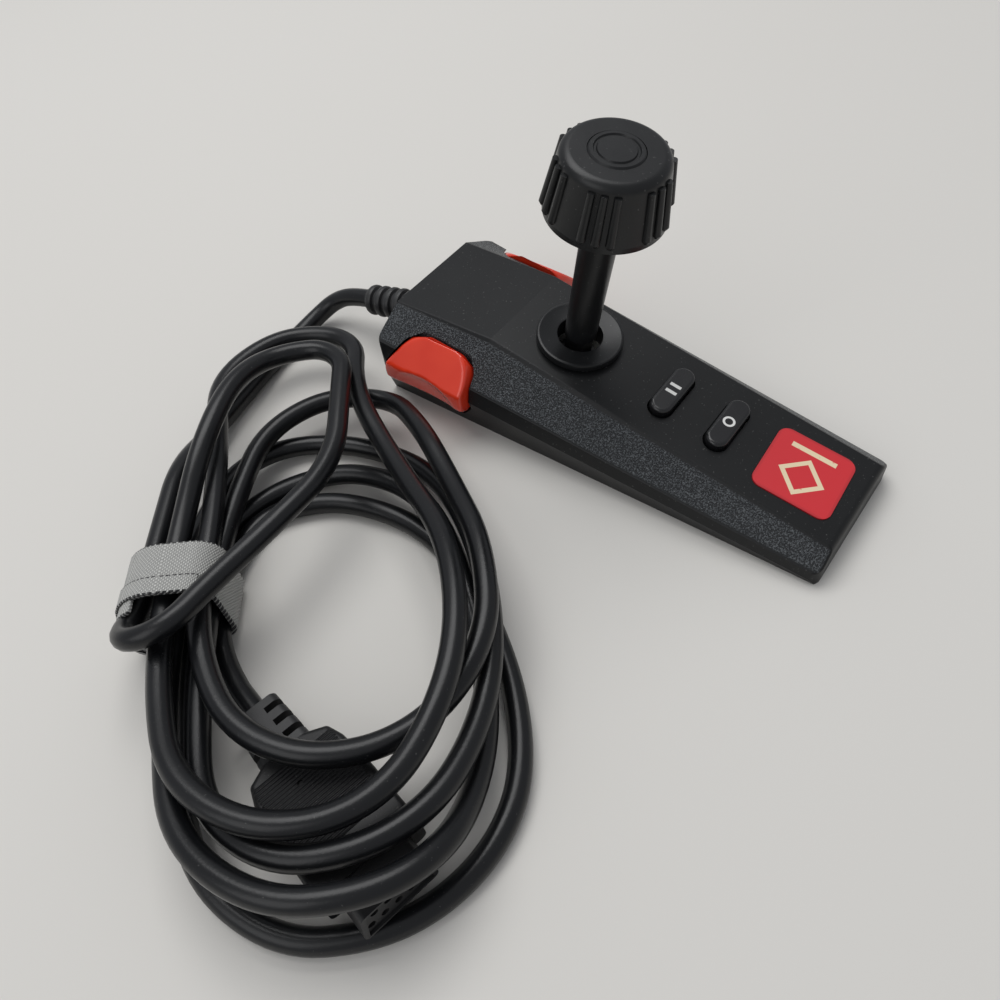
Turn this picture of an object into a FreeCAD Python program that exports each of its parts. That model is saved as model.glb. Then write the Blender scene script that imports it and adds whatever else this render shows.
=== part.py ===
"""A hand-held stick controller with two oval keys, two side triggers and a coiled cord with its plug.

Frame: +Z up, X across, Y along the body with the cord at +Y, origin under the middle of the body on
the surface it stands on. Millimetres.
"""
import FreeCAD
import Part
import Sketcher
import math
import os
import re

Vector = FreeCAD.Vector
Rotation = FreeCAD.Rotation
Placement = FreeCAD.Placement

doc = FreeCAD.newDocument("joystick_controller")
sheet = doc.addObject("Spreadsheet::Sheet", "Sizes")

DRIVING_SIZES = {
    # Housing, seen from the side: a flat rear part, a kink, then a slope down to the narrow end
    "body_length": 115.0,
    "slope_length": 86.3,
    "front_height": 8.2,
    "kink_height": 24.0,
    "rear_height": 23.2,
    # Housing, half widths of the flat plate, of the grained bevel's foot, of the joint and of the base
    "plate_half_front": 12.7,
    "plate_half_kink": 13.1,
    "plate_half_rear": 13.5,
    "bevel_half_front": 17.9,
    "bevel_half_rear": 23.0,
    "bevel_height_front": 3.9,
    "bevel_height_rear": 17.9,
    "joint_half_front": 18.1,
    "joint_half_rear": 24.1,
    "joint_height_front": 1.6,
    "joint_height_rear": 13.5,
    "base_half_front": 17.4,
    "base_half_rear": 20.6,
    "wall": 2.0,
    "rear_corner": 3.0,
    "front_corner": 2.5,
    "edge_round": 0.6,
    "front_edge_round": 1.8,
    # Clearances
    "running_fit": 0.05,
    "seat_gap": 0.1,
    "key_gap": 0.35,
    "trigger_gap": 0.7,
    "trigger_travel_room": 1.2,
    # Stick
    "stick_back": 13.1,
    "pivot_depth": 5.5,
    "collar_radius": 10.1,
    "collar_thickness": 1.5,
    "collar_boss_radius": 9.1,
    "collar_boss_rise": 0.6,
    "collar_hole_radius": 5.2,
    "collar_sleeve_radius": 6.2,
    "ring_inner_radius": 5.8,
    "ring_outer_radius": 8.0,
    "ring_width": 3.2,
    "ring_pin_reach": 10.2,
    "pivot_pin_radius": 1.2,
    "ear_gap": 0.4,
    "ear_thickness": 2.4,
    "ear_length": 5.2,
    "ear_below": 2.5,
    "hub_radius": 4.4,
    "hub_height": 3.6,
    "hub_pin_reach": 7.8,
    "neck_side": 4.8,
    "neck_height": 6.6,
    "neck_top": 2.6,
    # The shaft ends this far under the knob's top, and its bore this far under the screw's tip
    "shaft_end": 5.6,
    "shaft_bore_bottom": 0.9,
    "shaft_base_radius": 3.7,
    "shaft_top_radius": 4.2,
    "foot_radius": 2.0,
    "foot_end": 12.2,
    "disc_back": 15.2,
    "contact_disc_radius": 7.0,
    "contact_disc_thickness": 1.4,
    "contact_disc_height": 8.6,
    # Knob
    "knob_bottom": 37.4,
    "knob_height": 13.5,
    "knob_bottom_radius": 12.5,
    "knob_top_radius": 10.5,
    "knob_edge_round": 2.0,
    "knob_wall": 2.0,
    "knob_web": 1.6,
    "rib_radius": 0.95,
    "rib_groups": 6.0,
    "ribs_per_group": 3.0,
    "rib_step": 13.0,
    "rib_start": -7.0,
    "rib_fade": 1.8,
    "knob_socket_radius": 5.6,
    "cap_radius": 5.5,
    "cap_thickness": 2.0,
    "cap_rise": 0.25,
    "knob_screw_radius": 1.3,
    "knob_screw_head": 2.8,
    "knob_screw_length": 9.0,
    # Keys and badge
    "rear_key_back": -11.7,
    "front_key_back": -25.7,
    "key_length": 14.8,
    "key_width": 5.3,
    "key_rise": 2.0,
    "key_flange": 0.9,
    "key_flange_depth": 3.3,
    "key_flange_end": 0.4,
    "key_flange_side": 1.1,
    "key_rim_round": 0.8,
    "key_stem_radius": 1.5,
    "stem_gap": 0.4,
    "key_travel": 1.0,
    "badge_back": -44.4,
    "badge_side": 18.0,
    "badge_corner": 2.6,
    "badge_thickness": 0.5,
    "badge_recess": 0.25,
    "badge_turn": 2.8,
    # Triggers
    "trigger_corner": 2.5,
    "trigger_round": 1.5,
    "trigger_pin_in": 15.5,
    "trigger_pin_back": 51.0,
    "trigger_pin_radius": 1.0,
    "pin_post_radius": 2.2,
    "pin_arm_bottom": 9.0,
    "pin_arm_top": 12.0,
    "pin_top": 15.0,
    "rib_reach": 14.6,
    "rib_back": 30.9,
    "rib_bottom": 7.6,
    "rib_width": 2.0,
    "rib_tall": 2.4,
    # Inside
    "board_bottom": 5.0,
    "board_thickness": 1.6,
    "board_half_width": 13.0,
    "board_front": -34.0,
    "board_rear": 41.5,
    "screw_radius": 1.15,
    "screw_head_radius": 2.4,
    "screw_seat": 1.8,
    "screw_length": 6.5,
    "screw_head_height": 1.5,
    "board_screw_head": 2.0,
    "board_head_height": 1.2,
    "board_screw_length": 4.0,
    "dome_radius": 2.2,
    "dome_height": 0.7,
    "stick_dome_circle": 5.0,
    "leaf_reach": 12.6,
    "leaf_block": 4.0,
    "leaf_height": 4.0,
    "leaf_thickness": 0.3,
    "leaf_back": 22.0,
    "leaf_foot": 5.0,
    "leaf_length": 11.0,
    "wire_block_side": 10.0,
    "wire_block_back": 35.0,
    "wire_block_deep": 5.0,
    "wire_pitch": 1.9,
    "wire_count": 5.0,
    "post_radius": 3.4,
    "post_top": 4.6,
    "boss_radius": 3.0,
    "screw_bore_top": 8.6,
    "floor_front": -50.0,
    "stand_off_radius": 2.5,
    "board_screw_radius": 0.95,
    "case_screw_side": 11.0,
    "case_screw_front": -40.0,
    "case_screw_rear": 46.0,
    "board_screw_side": 10.0,
    "board_screw_front": -28.0,
    "board_screw_rear": 34.0,
    # Cord and what is on it
    "cord_diameter": 4.8,
    "lead_first_run": 7.0,
    "lead_last_run": 15.0,
    "corner_share": 0.45,
    "gap_step": 1.2,
    "gap_apart": 16.0,
    "relief_side": -4.0,
    "relief_length": 18.4,
    "relief_radius": 3.6,
    "relief_hole": 3.6,
    "relief_flange": 5.3,
    "relief_flange_wall": 1.8,
    "relief_inside": 4.5,
    "relief_outside": 0.7,
    "relief_rings": 6.0,
    "relief_ring_radius": 4.5,
    "relief_turn": 8.0,
    "relief_droop": 8.0,
    # Strap: its inside across the bundle and its band
    "tie_half_width": 10.0,
    "tie_low": 1.15,
    "tie_high": 17.7,
    "tie_corner": 3.0,
    "strap_width": 12.0,
    "strap_thickness": 1.05,
    "strap_lap": 0.9,
    "strap_lap_width": 7.0,
    "strap_lap_reach": 8.0,
    "strap_lap_end": 3.0,
    "strap_lap_drop": 5.5,
    # Plug: slotted relief, moulding, nose and contacts
    "neck_length": 13.0,
    "neck_half_rear": 5.0,
    "neck_half_front": 5.5,
    "neck_thickness": 6.0,
    "neck_round": 1.6,
    "slot_count": 3.0,
    "slot_first": 1.9,
    "slot_pitch": 3.5,
    "slot_width": 1.5,
    "slot_core": 1.5,
    "plug_length": 27.0,
    "plug_thickness": 9.0,
    "plug_round": 1.2,
    "dimple_radius": 0.6,
    "dimple_side": 1.2,
    "dimple_along": 7.8,
    "dimple_depth": 0.5,
    "nose_length": 7.0,
    "nose_height": 7.4,
    "nose_half_top": 6.6,
    "nose_half_bottom": 7.9,
    "nose_round": 1.2,
    "rim_share": 0.86,
    "rim_depth": 0.6,
    "contact_pitch": 2.77,
    "contact_row": 2.84,
    "contacts_low": 5.0,
    "contacts_high": 4.0,
    "contact_radius": 0.75,
    "bore_depth": 4.5,
    "sleeve_length": 3.0,
    "sleeve_hole": 0.42,
    "sleeve_floor": 0.6,
}

for row, (alias, number) in enumerate(DRIVING_SIZES.items(), start=1):
    sheet.set(f"A{row}", alias)
    sheet.set(f"B{row}", str(number))
    sheet.setAlias(f"B{row}", alias)
doc.recompute()


def size(alias):
    """The number that the sheet holds under this alias."""
    return float(getattr(sheet, alias))


def formula(text):
    """An expression in plain size names, as the sheet's references."""
    return re.sub(r"[a-z][a-z_]+", lambda word: "Sizes." + word.group(0)
                  if word.group(0) in DRIVING_SIZES else word.group(0), text)


def bind(item, **expressions):
    """Ties properties of an object to the sheet."""
    for name, text in expressions.items():
        item.setExpression(name, formula(text))
    return item


def primitive(kind, name, place=None, **expressions):
    """A Part primitive with its sizes tied to the sheet."""
    item = bind(doc.addObject("Part::" + kind, name), **expressions)
    if place is not None:
        item.Placement = place
    return item


def at(x=0.0, y=0.0, z=0.0, turn=None):
    """A placement at a point, turned or not."""
    return Placement(Vector(x, y, z), turn if turn is not None else Rotation())


ALONG_X = Rotation(Vector(0, 1, 0), 90)
ALONG_Y = Rotation(Vector(1, 0, 0), -90)
DOWN = Rotation(Vector(1, 0, 0), 180)

nodes = []


def node(name, item, place=None):
    """Marks a finished sub-part and gives it its name."""
    item.Label = name
    if place is not None:
        item.Placement = place
    nodes.append(item)
    return item


def fuse(name, pieces):
    joined = doc.addObject("Part::MultiFuse", name)
    joined.Shapes = pieces
    joined.Refine = True
    return joined


def cut(name, base, tools):
    """The base less its tools."""
    tool = tools[0] if len(tools) == 1 else fuse(name + "_tools", tools)
    result = doc.addObject("Part::Cut", name)
    result.Base = base
    result.Tool = tool
    result.Refine = True
    return result


def feature(name, shape):
    """A part whose shape is worked out here from the sheet."""
    item = doc.addObject("Part::Feature", name)
    item.Shape = shape
    return item


def sketch_in(body, name, plane="XY_Plane", lift=None):
    """A sketch on one of the body's own origin planes."""
    sketch = body.newObject("Sketcher::SketchObject", name)
    origin_plane = [f for f in body.Origin.OriginFeatures if f.Role == plane][0]
    sketch.AttachmentSupport = [(origin_plane, "")]
    sketch.MapMode = "FlatFace"
    if lift is not None:
        sketch.setExpression("AttachmentOffset.Base.z", formula(lift))
    return sketch


def circle(sketch, radius, x=None, y=None):
    """A circle with its radius and centre tied to the sheet."""
    index = sketch.addGeometry(Part.Circle(Vector(0, 0, 0), Vector(0, 0, 1), 1.0))
    constraint = sketch.addConstraint(Sketcher.Constraint("Radius", index, 1.0))
    sketch.setExpression(f"Constraints[{constraint}]", formula(radius))
    place_point(sketch, index, 3, x or "0", y or "0")
    return index


def place_point(sketch, index, end, x, y):
    """Fixes a point of the sketch at two expressions."""
    for kind, text in (("DistanceX", x), ("DistanceY", y)):
        if text == "0":
            other = -2 if kind == "DistanceX" else -1
            sketch.addConstraint(Sketcher.Constraint("PointOnObject", index, end, other))
        else:
            start = float(sketch.evalExpression(formula(text)))
            constraint = sketch.addConstraint(Sketcher.Constraint(kind, index, end, start))
            sketch.setExpression(f"Constraints[{constraint}]", formula(text))


def outline(sketch, corners):
    """A closed outline of straight lines whose corners are tied to the sheet."""
    first = None
    values = [(float(sketch.evalExpression(formula(x))), float(sketch.evalExpression(formula(y))))
              for x, y in corners]
    for i, (x, y) in enumerate(values):
        x2, y2 = values[(i + 1) % len(values)]
        index = sketch.addGeometry(Part.LineSegment(Vector(x, y, 0), Vector(x2, y2, 0)))
        first = index if first is None else first
    count = len(corners)
    for i in range(count):
        sketch.addConstraint(Sketcher.Constraint("Coincident", first + i, 2, first + (i + 1) % count, 1))
    for i, (x, y) in enumerate(corners):
        place_point(sketch, first + i, 1, x, y)


def pad(body, name, sketch, length, reverse=False):
    item = body.newObject("PartDesign::Pad", name)
    item.Profile = sketch
    item.Reversed = reverse
    item.setExpression("Length", formula(length))
    return item


def revolve(body, name, sketch):
    """A full turn of the sketch about its own vertical axis."""
    item = body.newObject("PartDesign::Revolution", name)
    item.Profile = sketch
    item.ReferenceAxis = (sketch, ["V_Axis"])
    item.Angle = 360.0
    return item


def edges_where(item, test):
    """Names of the edges whose middle passes the test."""
    names = []
    for i, edge in enumerate(item.Shape.Edges, start=1):
        middle = edge.valueAt((edge.FirstParameter + edge.LastParameter) / 2)
        if test(edge, middle):
            names.append(f"Edge{i}")
    return names


# The sloping plate and the sections of the housing
half_length = size("body_length") / 2
kink_back = size("slope_length") - half_length
slope = math.atan2(size("kink_height") - size("front_height"), size("slope_length"))
slope_degrees = math.degrees(slope)
TILTED = Rotation(Vector(1, 0, 0), slope_degrees)
plate_normal = Vector(0, -math.sin(slope), math.cos(slope))


def plate_height(back):
    """Height of the plate's surface, which kinks behind the stick."""
    if back <= kink_back:
        return size("front_height") + (back + half_length) * math.tan(slope)
    share = (back - kink_back) / (half_length - kink_back)
    return size("kink_height") + (size("rear_height") - size("kink_height")) * share


def plate_half(back):
    if back <= kink_back:
        share = (back + half_length) / size("slope_length")
        return size("plate_half_front") + (size("plate_half_kink") - size("plate_half_front")) * share
    share = (back - kink_back) / (half_length - kink_back)
    return size("plate_half_kink") + (size("plate_half_rear") - size("plate_half_kink")) * share


def between(name, back):
    """A size that changes evenly from the front to the rear of the housing."""
    share = (back + half_length) / size("body_length")
    return size(name + "_front") + (size(name + "_rear") - size(name + "_front")) * share


def on_plate(back, rise=0.0):
    """A placement on the sloping plate, its Z along the plate's normal."""
    point = Vector(0, back, plate_height(back)) + plate_normal * rise
    return Placement(point, TILTED)


def mirrored_section(back, half_points):
    """A closed section across the body from the points of its +X half, bottom first."""
    points = [Vector(x, back, z) for x, z in half_points]
    points += [Vector(-x, back, z) for x, z in reversed(half_points)]
    return Part.makePolygon(points + [points[0]])


def upper_section(back, inset=0.0, drop=0.0):
    joint = (between("joint_half", back) - inset, between("joint_height", back) - drop)
    foot = (between("bevel_half", back) - inset, between("bevel_height", back) - inset * 0.4)
    edge = (plate_half(back) - inset * 0.5, plate_height(back) - inset)
    return mirrored_section(back, [joint, foot, edge])


def lower_section(back, inset=0.0, rise=0.0):
    base_half = between("base_half", back) - inset
    joint_half = between("joint_half", back) - inset
    below = 0.0 if inset else 1.0
    lean = (joint_half - base_half) / between("joint_height", back)
    base = (base_half - below * lean, inset - below)
    joint = (joint_half, between("joint_height", back) + rise)
    return mirrored_section(back, [base, joint])


def plan_with_round_corners():
    """The body's plan, whose corners are rounded, as a tall prism."""
    margin = 0.02
    wide = size("joint_half_rear") + margin
    narrow = size("joint_half_front") + margin
    corners = [Vector(narrow, -half_length, 0), Vector(wide, half_length, 0),
               Vector(-wide, half_length, 0), Vector(-narrow, -half_length, 0)]
    prism = Part.Face(Part.makePolygon(corners + [corners[0]])).extrude(Vector(0, 0, 60))
    for radius, sign in ((size("rear_corner"), 1), (size("front_corner"), -1)):
        uprights = [e for e in prism.Edges if abs(e.Vertexes[0].Z - e.Vertexes[1].Z) > 50
                    and e.Vertexes[0].Y * sign > 0]
        prism = prism.makeFillet(radius, uprights)
    return prism



def shell_solid(section, stations, rounds):
    """The outside of one half of the housing, its corners and upper edges rounded."""
    solid = Part.makeLoft([section(y) for y in stations], True, True).common(plan_with_round_corners())
    for radius, wanted in rounds:
        chosen = [e for e in solid.Edges if wanted(e)]
        solid = solid.makeFillet(radius, chosen)
    return solid


def on_front_plate_edge(edge):
    return all(abs(v.Y + half_length) < 0.01 and abs(v.Z - size("front_height")) < 0.01
               for v in edge.Vertexes)


def on_bevel_edge(edge):
    ends = [v.Point for v in edge.Vertexes]
    return (len(ends) == 2 and abs(ends[0].y - ends[1].y) > 5
            and all(abs(abs(p.x) - plate_half(p.y)) < 0.3 and p.z > plate_height(p.y) - 0.3 for p in ends))


def hollow(section, start, end, inset, spill):
    """What is taken out of one half of the housing."""
    stations = [start] + [y for y in (kink_back,) if section is upper_section] + [end]
    return Part.makeLoft([section(y, inset, spill) for y in stations], True, True)


def side_outline(grow=0.0):
    """The trigger's outline seen from the side, as a face in the YZ plane."""
    wire = Part.makePolygon([Vector(0, y, z) for y, z in TRIGGER_SIDE + TRIGGER_SIDE[:1]])
    slab = Part.Face(wire).extrude(Vector(1, 0, 0))
    slab = slab.makeFillet(size("trigger_corner"), [e for e in slab.Edges if across_x(e)])
    face = [f for f in slab.Faces if f.BoundBox.XMax < 0.001][0]
    return face.makeOffset2D(grow) if grow else face


def across_x(edge):
    return abs(edge.Vertexes[0].X - edge.Vertexes[-1].X) > 0.5


# Outline of a trigger seen from the side and across the body, as lengths along Y or X and heights
TRIGGER_SIDE = [(54.0, 8.0), (54.4, 12.5), (50.0, 18.5), (43.0, 21.6),
                (33.5, 20.6), (30.4, 17.0), (30.6, 8.0), (34.5, 3.0)]
TRIGGER_ACROSS = [(18.0, 2.0), (22.0, 2.0), (25.0, 9.0), (25.3, 14.0), (19.0, 21.5), (18.0, 22.7)]

stick_place = on_plate(size("stick_back"))
pivot = stick_place.multVec(Vector(0, 0, -size("pivot_depth")))
rear_key_place = on_plate(size("rear_key_back"))
front_key_place = on_plate(size("front_key_back"))
badge_place = on_plate(size("badge_back")).multiply(at(turn=Rotation(Vector(0, 0, 1), size("badge_turn"))))
wall = size("wall")
case_screw_points = [(x, y) for x in (-size("case_screw_side"), size("case_screw_side"))
                     for y in (size("case_screw_front"), size("case_screw_rear"))]
board_screw_points = [(x, y) for x in (-size("board_screw_side"), size("board_screw_side"))
                      for y in (size("board_screw_front"), size("board_screw_rear"))]


def rounded_bar(length, width, height, bottom, corner=None):
    """An upright bar with rounded ends, or with corners of a given radius."""
    bar = Part.makeBox(length, width, height, Vector(-length / 2, -width / 2, bottom))
    radius = corner if corner is not None else min(length, width) / 2 - 0.01
    return bar.makeFillet(radius, [e for e in bar.Edges
                                   if abs(e.Vertexes[0].Z - e.Vertexes[1].Z) > height / 2])


def moved(shape, place):
    shape.Placement = place.multiply(shape.Placement)
    return shape


def cylinder(radius, bottom, top, x=0.0, y=0.0):
    return Part.makeCylinder(radius, top - bottom, Vector(x, y, bottom))


def trigger_openings():
    """The two side windows that the triggers fill."""
    reach_in = TRIGGER_ACROSS[0][0] - size("trigger_travel_room")
    face = side_outline(size("trigger_gap"))
    return [moved(face.copy(), at(x=x)).extrude(Vector(12, 0, 0))
            for x in (reach_in, -reach_in - 12)]


def relief_hole():
    return Part.makeCylinder(size("relief_hole"), 8, Vector(size("relief_side"), half_length - 5,
                             relief_height), Vector(0, 1, 0))


relief_height = size("joint_height_rear")


def make_upper_shell():
    """The upper half: sloping plate, grained bevels, bosses, pivot ears and every opening in it."""
    body = shell_solid(upper_section, [-half_length, kink_back, half_length],
                       [(size("front_edge_round"), on_front_plate_edge), (size("edge_round"), on_bevel_edge)])
    outside = body.copy()
    body = body.cut(hollow(upper_section, wall - half_length, half_length - wall, wall, wall))
    ear_in = size("ring_outer_radius") + size("ear_gap")
    ear_drop = size("pivot_depth") + size("ear_below")
    added = []
    for x in (ear_in, -ear_in - size("ear_thickness")):
        ear = Part.makeBox(size("ear_thickness"), size("ear_length"), ear_drop - 1,
                           Vector(x, -size("ear_length") / 2, -ear_drop))
        added.append(moved(ear, stick_place))
    added += [cylinder(size("boss_radius"), size("post_top") + size("seat_gap"), 30, x, y)
              for x, y in case_screw_points]
    pin_x, pin_y = size("trigger_pin_in"), size("trigger_pin_back")
    added += [cylinder(size("pin_post_radius"), size("pin_arm_top") + 0.3, 30, x, pin_y)
              for x in (-pin_x, pin_x)]
    body = body.fuse([piece.common(outside) for piece in added])
    body = body.fuse(moved(cylinder(size("collar_boss_radius"), -1, size("collar_boss_rise")), stick_place))
    gap = size("key_gap")
    cuts = [moved(cylinder(size("collar_sleeve_radius") + size("seat_gap"), -9, 4), stick_place)]
    for place in (rear_key_place, front_key_place):
        window = rounded_bar(size("key_length") + 2 * gap, size("key_width") + 2 * gap, 6, -4)
        cuts.append(moved(window, place))
    cuts.append(moved(rounded_bar(size("badge_side") + 0.2, size("badge_side") + 0.2, 2,
                                  -size("badge_recess"), size("badge_corner")), badge_place))
    bore = size("pivot_pin_radius") + size("running_fit")
    cuts.append(moved(Part.makeCylinder(bore, 40, Vector(-20, 0, -size("pivot_depth")), Vector(1, 0, 0))
                      .common(Part.makeBox(30, 10, 10, Vector(-15, -5, -10))), stick_place))
    cuts += [cylinder(size("screw_radius"), 0, size("screw_bore_top"), x, y) for x, y in case_screw_points]
    cuts += [cylinder(size("trigger_pin_radius"), 0, size("pin_top"), x, pin_y) for x in (-pin_x, pin_x)]
    cuts += trigger_openings() + [relief_hole()]
    return body.cut(cuts).removeSplitter()


def make_lower_shell():
    """The lower half: floor, screw posts with sunk seats, board stand-offs and pin posts."""
    body = shell_solid(lower_section, [-half_length, half_length], [])
    body = body.cut(hollow(lower_section, size("floor_front"), half_length - wall, wall, 1.0))
    pin_x, pin_y = size("trigger_pin_in"), size("trigger_pin_back")
    added = [cylinder(size("post_radius"), 0.5, size("post_top"), x, y) for x, y in case_screw_points]
    added += [cylinder(size("stand_off_radius"), 1, size("board_bottom"), x, y)
              for x, y in board_screw_points]
    added += [cylinder(size("pin_post_radius"), 1, size("pin_arm_bottom") - 0.3, x, pin_y)
              for x in (-pin_x, pin_x)]
    body = body.fuse(added)
    cuts = []
    for x, y in case_screw_points:
        cuts.append(cylinder(size("screw_head_radius") + 0.3, -1, size("screw_seat"), x, y))
        cuts.append(cylinder(size("screw_radius") + 0.15, -1, 20, x, y))
    cuts += [cylinder(size("board_screw_radius"), wall, 20, x, y) for x, y in board_screw_points]
    cuts += [cylinder(size("trigger_pin_radius"), wall, 20, x, pin_y) for x in (-pin_x, pin_x)]
    cuts += trigger_openings() + [relief_hole()]
    return body.cut(cuts).removeSplitter()


def make_trigger(side):
    """One trigger, right for side 1 and left for side -1: outer pad, hinge arm and switch rib."""
    x_in = TRIGGER_ACROSS[0][0]
    pad_shape = moved(side_outline(), at(x=x_in)).extrude(Vector(10, 0, 0))
    ring = [Vector(x, 20, z) for x, z in TRIGGER_ACROSS + TRIGGER_ACROSS[:1]]
    across = Part.Face(Part.makePolygon(ring))
    pad_shape = pad_shape.common(across.extrude(Vector(0, 45, 0)))
    pad_shape = pad_shape.removeSplitter()
    outer = [e for e in pad_shape.Edges if all(v.X > x_in + 0.5 for v in e.Vertexes)]
    pad_shape = pad_shape.makeFillet(size("trigger_round"), outer)
    pin_x, pin_y = size("trigger_pin_in"), size("trigger_pin_back")
    arm_bottom, arm_top = size("pin_arm_bottom"), size("pin_arm_top")
    knuckle = size("pin_post_radius")
    arm = cylinder(knuckle, arm_bottom, arm_top, pin_x, pin_y).fuse(
        Part.makeBox(x_in - pin_x + 1, 2 * knuckle, arm_top - arm_bottom,
                     Vector(pin_x, pin_y - knuckle, arm_bottom)))
    rib = Part.makeBox(x_in - size("rib_reach") + 1, size("rib_width"), size("rib_tall"),
                       Vector(size("rib_reach"), size("rib_back"), size("rib_bottom")))
    whole = pad_shape.fuse([arm, rib])
    whole = whole.cut(cylinder(size("trigger_pin_radius") + size("running_fit"), 0, 30, pin_x, pin_y))
    whole = whole.removeSplitter()
    return whole if side > 0 else whole.mirror(Vector(0, 0, 0), Vector(1, 0, 0))


node("upper_shell", feature("UpperShell", make_upper_shell()))
node("lower_shell", feature("LowerShell", make_lower_shell()))
node("right_trigger", feature("RightTrigger", make_trigger(1)))
node("left_trigger", feature("LeftTrigger", make_trigger(-1)))


def turned_body(name, label, profile, place):
    """A body turned from a profile of radius and height pairs."""
    body = doc.addObject("PartDesign::Body", name)
    sketch = sketch_in(body, name + "Profile", "XZ_Plane")
    outline(sketch, profile)
    revolve(body, name + "Turn", sketch)
    doc.recompute()
    return node(label, body, place)


def round_edges(body, name, radius, test):
    """Rounds the edges of the body's last feature that pass the test."""
    doc.recompute()
    tip = body.Tip
    item = body.newObject("PartDesign::Fillet", name)
    item.Base = (tip, edges_where(tip, test))
    item.setExpression("Radius", formula(radius))
    doc.recompute()
    body.Tip = item
    return item


def upright(edge, middle):
    ends = [v.Point for v in edge.Vertexes]
    return len(ends) == 2 and abs(ends[0].z - ends[1].z) > 0.3 and (ends[0] - ends[1]).Length < abs(
        ends[0].z - ends[1].z) + 0.001


def rectangle(sketch, half_x, half_y):
    """A rectangle round the sketch's origin from its half sizes."""
    outline(sketch, [(f"-({half_x})", f"-({half_y})"), (half_x, f"-({half_y})"),
                     (half_x, half_y), (f"-({half_x})", half_y)])


def make_collar():
    """The stepped disc round the stick, with the sleeve and lip that clip it into the plate."""
    top = "collar_boss_rise + seat_gap + collar_thickness"
    under = "collar_boss_rise + seat_gap"
    profile = [("collar_hole_radius", "-2.5"), ("collar_sleeve_radius", "-2.5"),
               ("collar_sleeve_radius", under), ("collar_radius", under),
               ("collar_radius", f"{top} - 0.5"), ("collar_radius - 0.5", top),
               ("collar_radius - 2.6", top), ("collar_radius - 3.0", f"{top} - 0.3"),
               ("collar_hole_radius + 0.9", f"{top} - 0.3"), ("collar_hole_radius", f"{top} - 0.9")]
    turned_body("StickCollar", "stick_collar", profile, stick_place)


def make_pivot_ring():
    """The gimbal ring: two pins across to the housing and two bores along for the stick."""
    ring = primitive("Cylinder", "RingOuter", at(z=-size("ring_width") / 2), Radius="ring_outer_radius",
                     Height="ring_width")
    hole = primitive("Cylinder", "RingInner", at(z=-5), Radius="ring_inner_radius", Height="10")
    pins = primitive("Cylinder", "RingPins", at(x=-size("ring_pin_reach"), turn=ALONG_X),
                     Radius="pivot_pin_radius", Height="2 * ring_pin_reach")
    bore = primitive("Cylinder", "RingBores", at(y=-12, turn=ALONG_Y),
                     Radius="pivot_pin_radius + running_fit", Height="24")
    whole = cut("PivotRing", fuse("RingBlank", [ring, pins]), [hole, bore])
    node("pivot_ring", whole, stick_place.multiply(at(z=-size("pivot_depth"))))


# Height of the shaft's end over the plate, as an expression
SHAFT_TOP = "(knob_bottom + knob_height - shaft_end)"


def high_above_plate(drop):
    """How high over the plate a place stands that is this far under the knob's top."""
    return size("knob_bottom") + size("knob_height") - size(drop)


def make_shaft():
    """The stick itself: foot, hub on two pins, square neck and a tapered shaft for the knob."""
    depth = size("pivot_depth")
    hub = primitive("Cylinder", "Hub", at(z=-depth - size("hub_height") / 2), Radius="hub_radius",
                    Height="hub_height")
    pins = primitive("Cylinder", "HubPins", at(y=-size("hub_pin_reach"), z=-depth, turn=ALONG_Y),
                     Radius="pivot_pin_radius", Height="2 * hub_pin_reach")
    neck_low = -depth + size("hub_height") / 2 - 0.2
    side = size("neck_side")
    neck = primitive("Box", "Neck", at(-side / 2, -side / 2, neck_low), Length="neck_side",
                     Width="neck_side", Height="neck_height")
    shaft = primitive("Cone", "ShaftTaper", at(z=size("neck_top")), Radius1="shaft_base_radius",
                      Radius2="shaft_top_radius", Height=SHAFT_TOP + " - neck_top")
    foot = primitive("Cylinder", "Foot", at(z=-size("foot_end")), Radius="foot_radius",
                     Height="foot_end - pivot_depth")
    tip = high_above_plate("shaft_end") + size("knob_web") - size("knob_screw_length")
    bore = primitive("Cylinder", "ShaftBore", at(z=tip - size("shaft_bore_bottom")),
                     Radius="knob_screw_radius + 0.05", Height="20")
    whole = cut("StickShaft", fuse("ShaftBlank", [hub, pins, neck, shaft, foot]), [bore])
    node("stick_shaft", whole, stick_place)


def make_contact_disc():
    """The level disc on the stick's foot that presses the domes."""
    disc = primitive("Cylinder", "DiscBlank", at(0, size("disc_back"), size("contact_disc_height")),
                     Radius="contact_disc_radius", Height="contact_disc_thickness")
    hole = primitive("Cylinder", "DiscHole", stick_place.multiply(at(z=-20)), Radius="foot_radius + 0.02",
                     Height="20")
    node("contact_disc", cut("ContactDisc", disc, [hole]))


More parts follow.
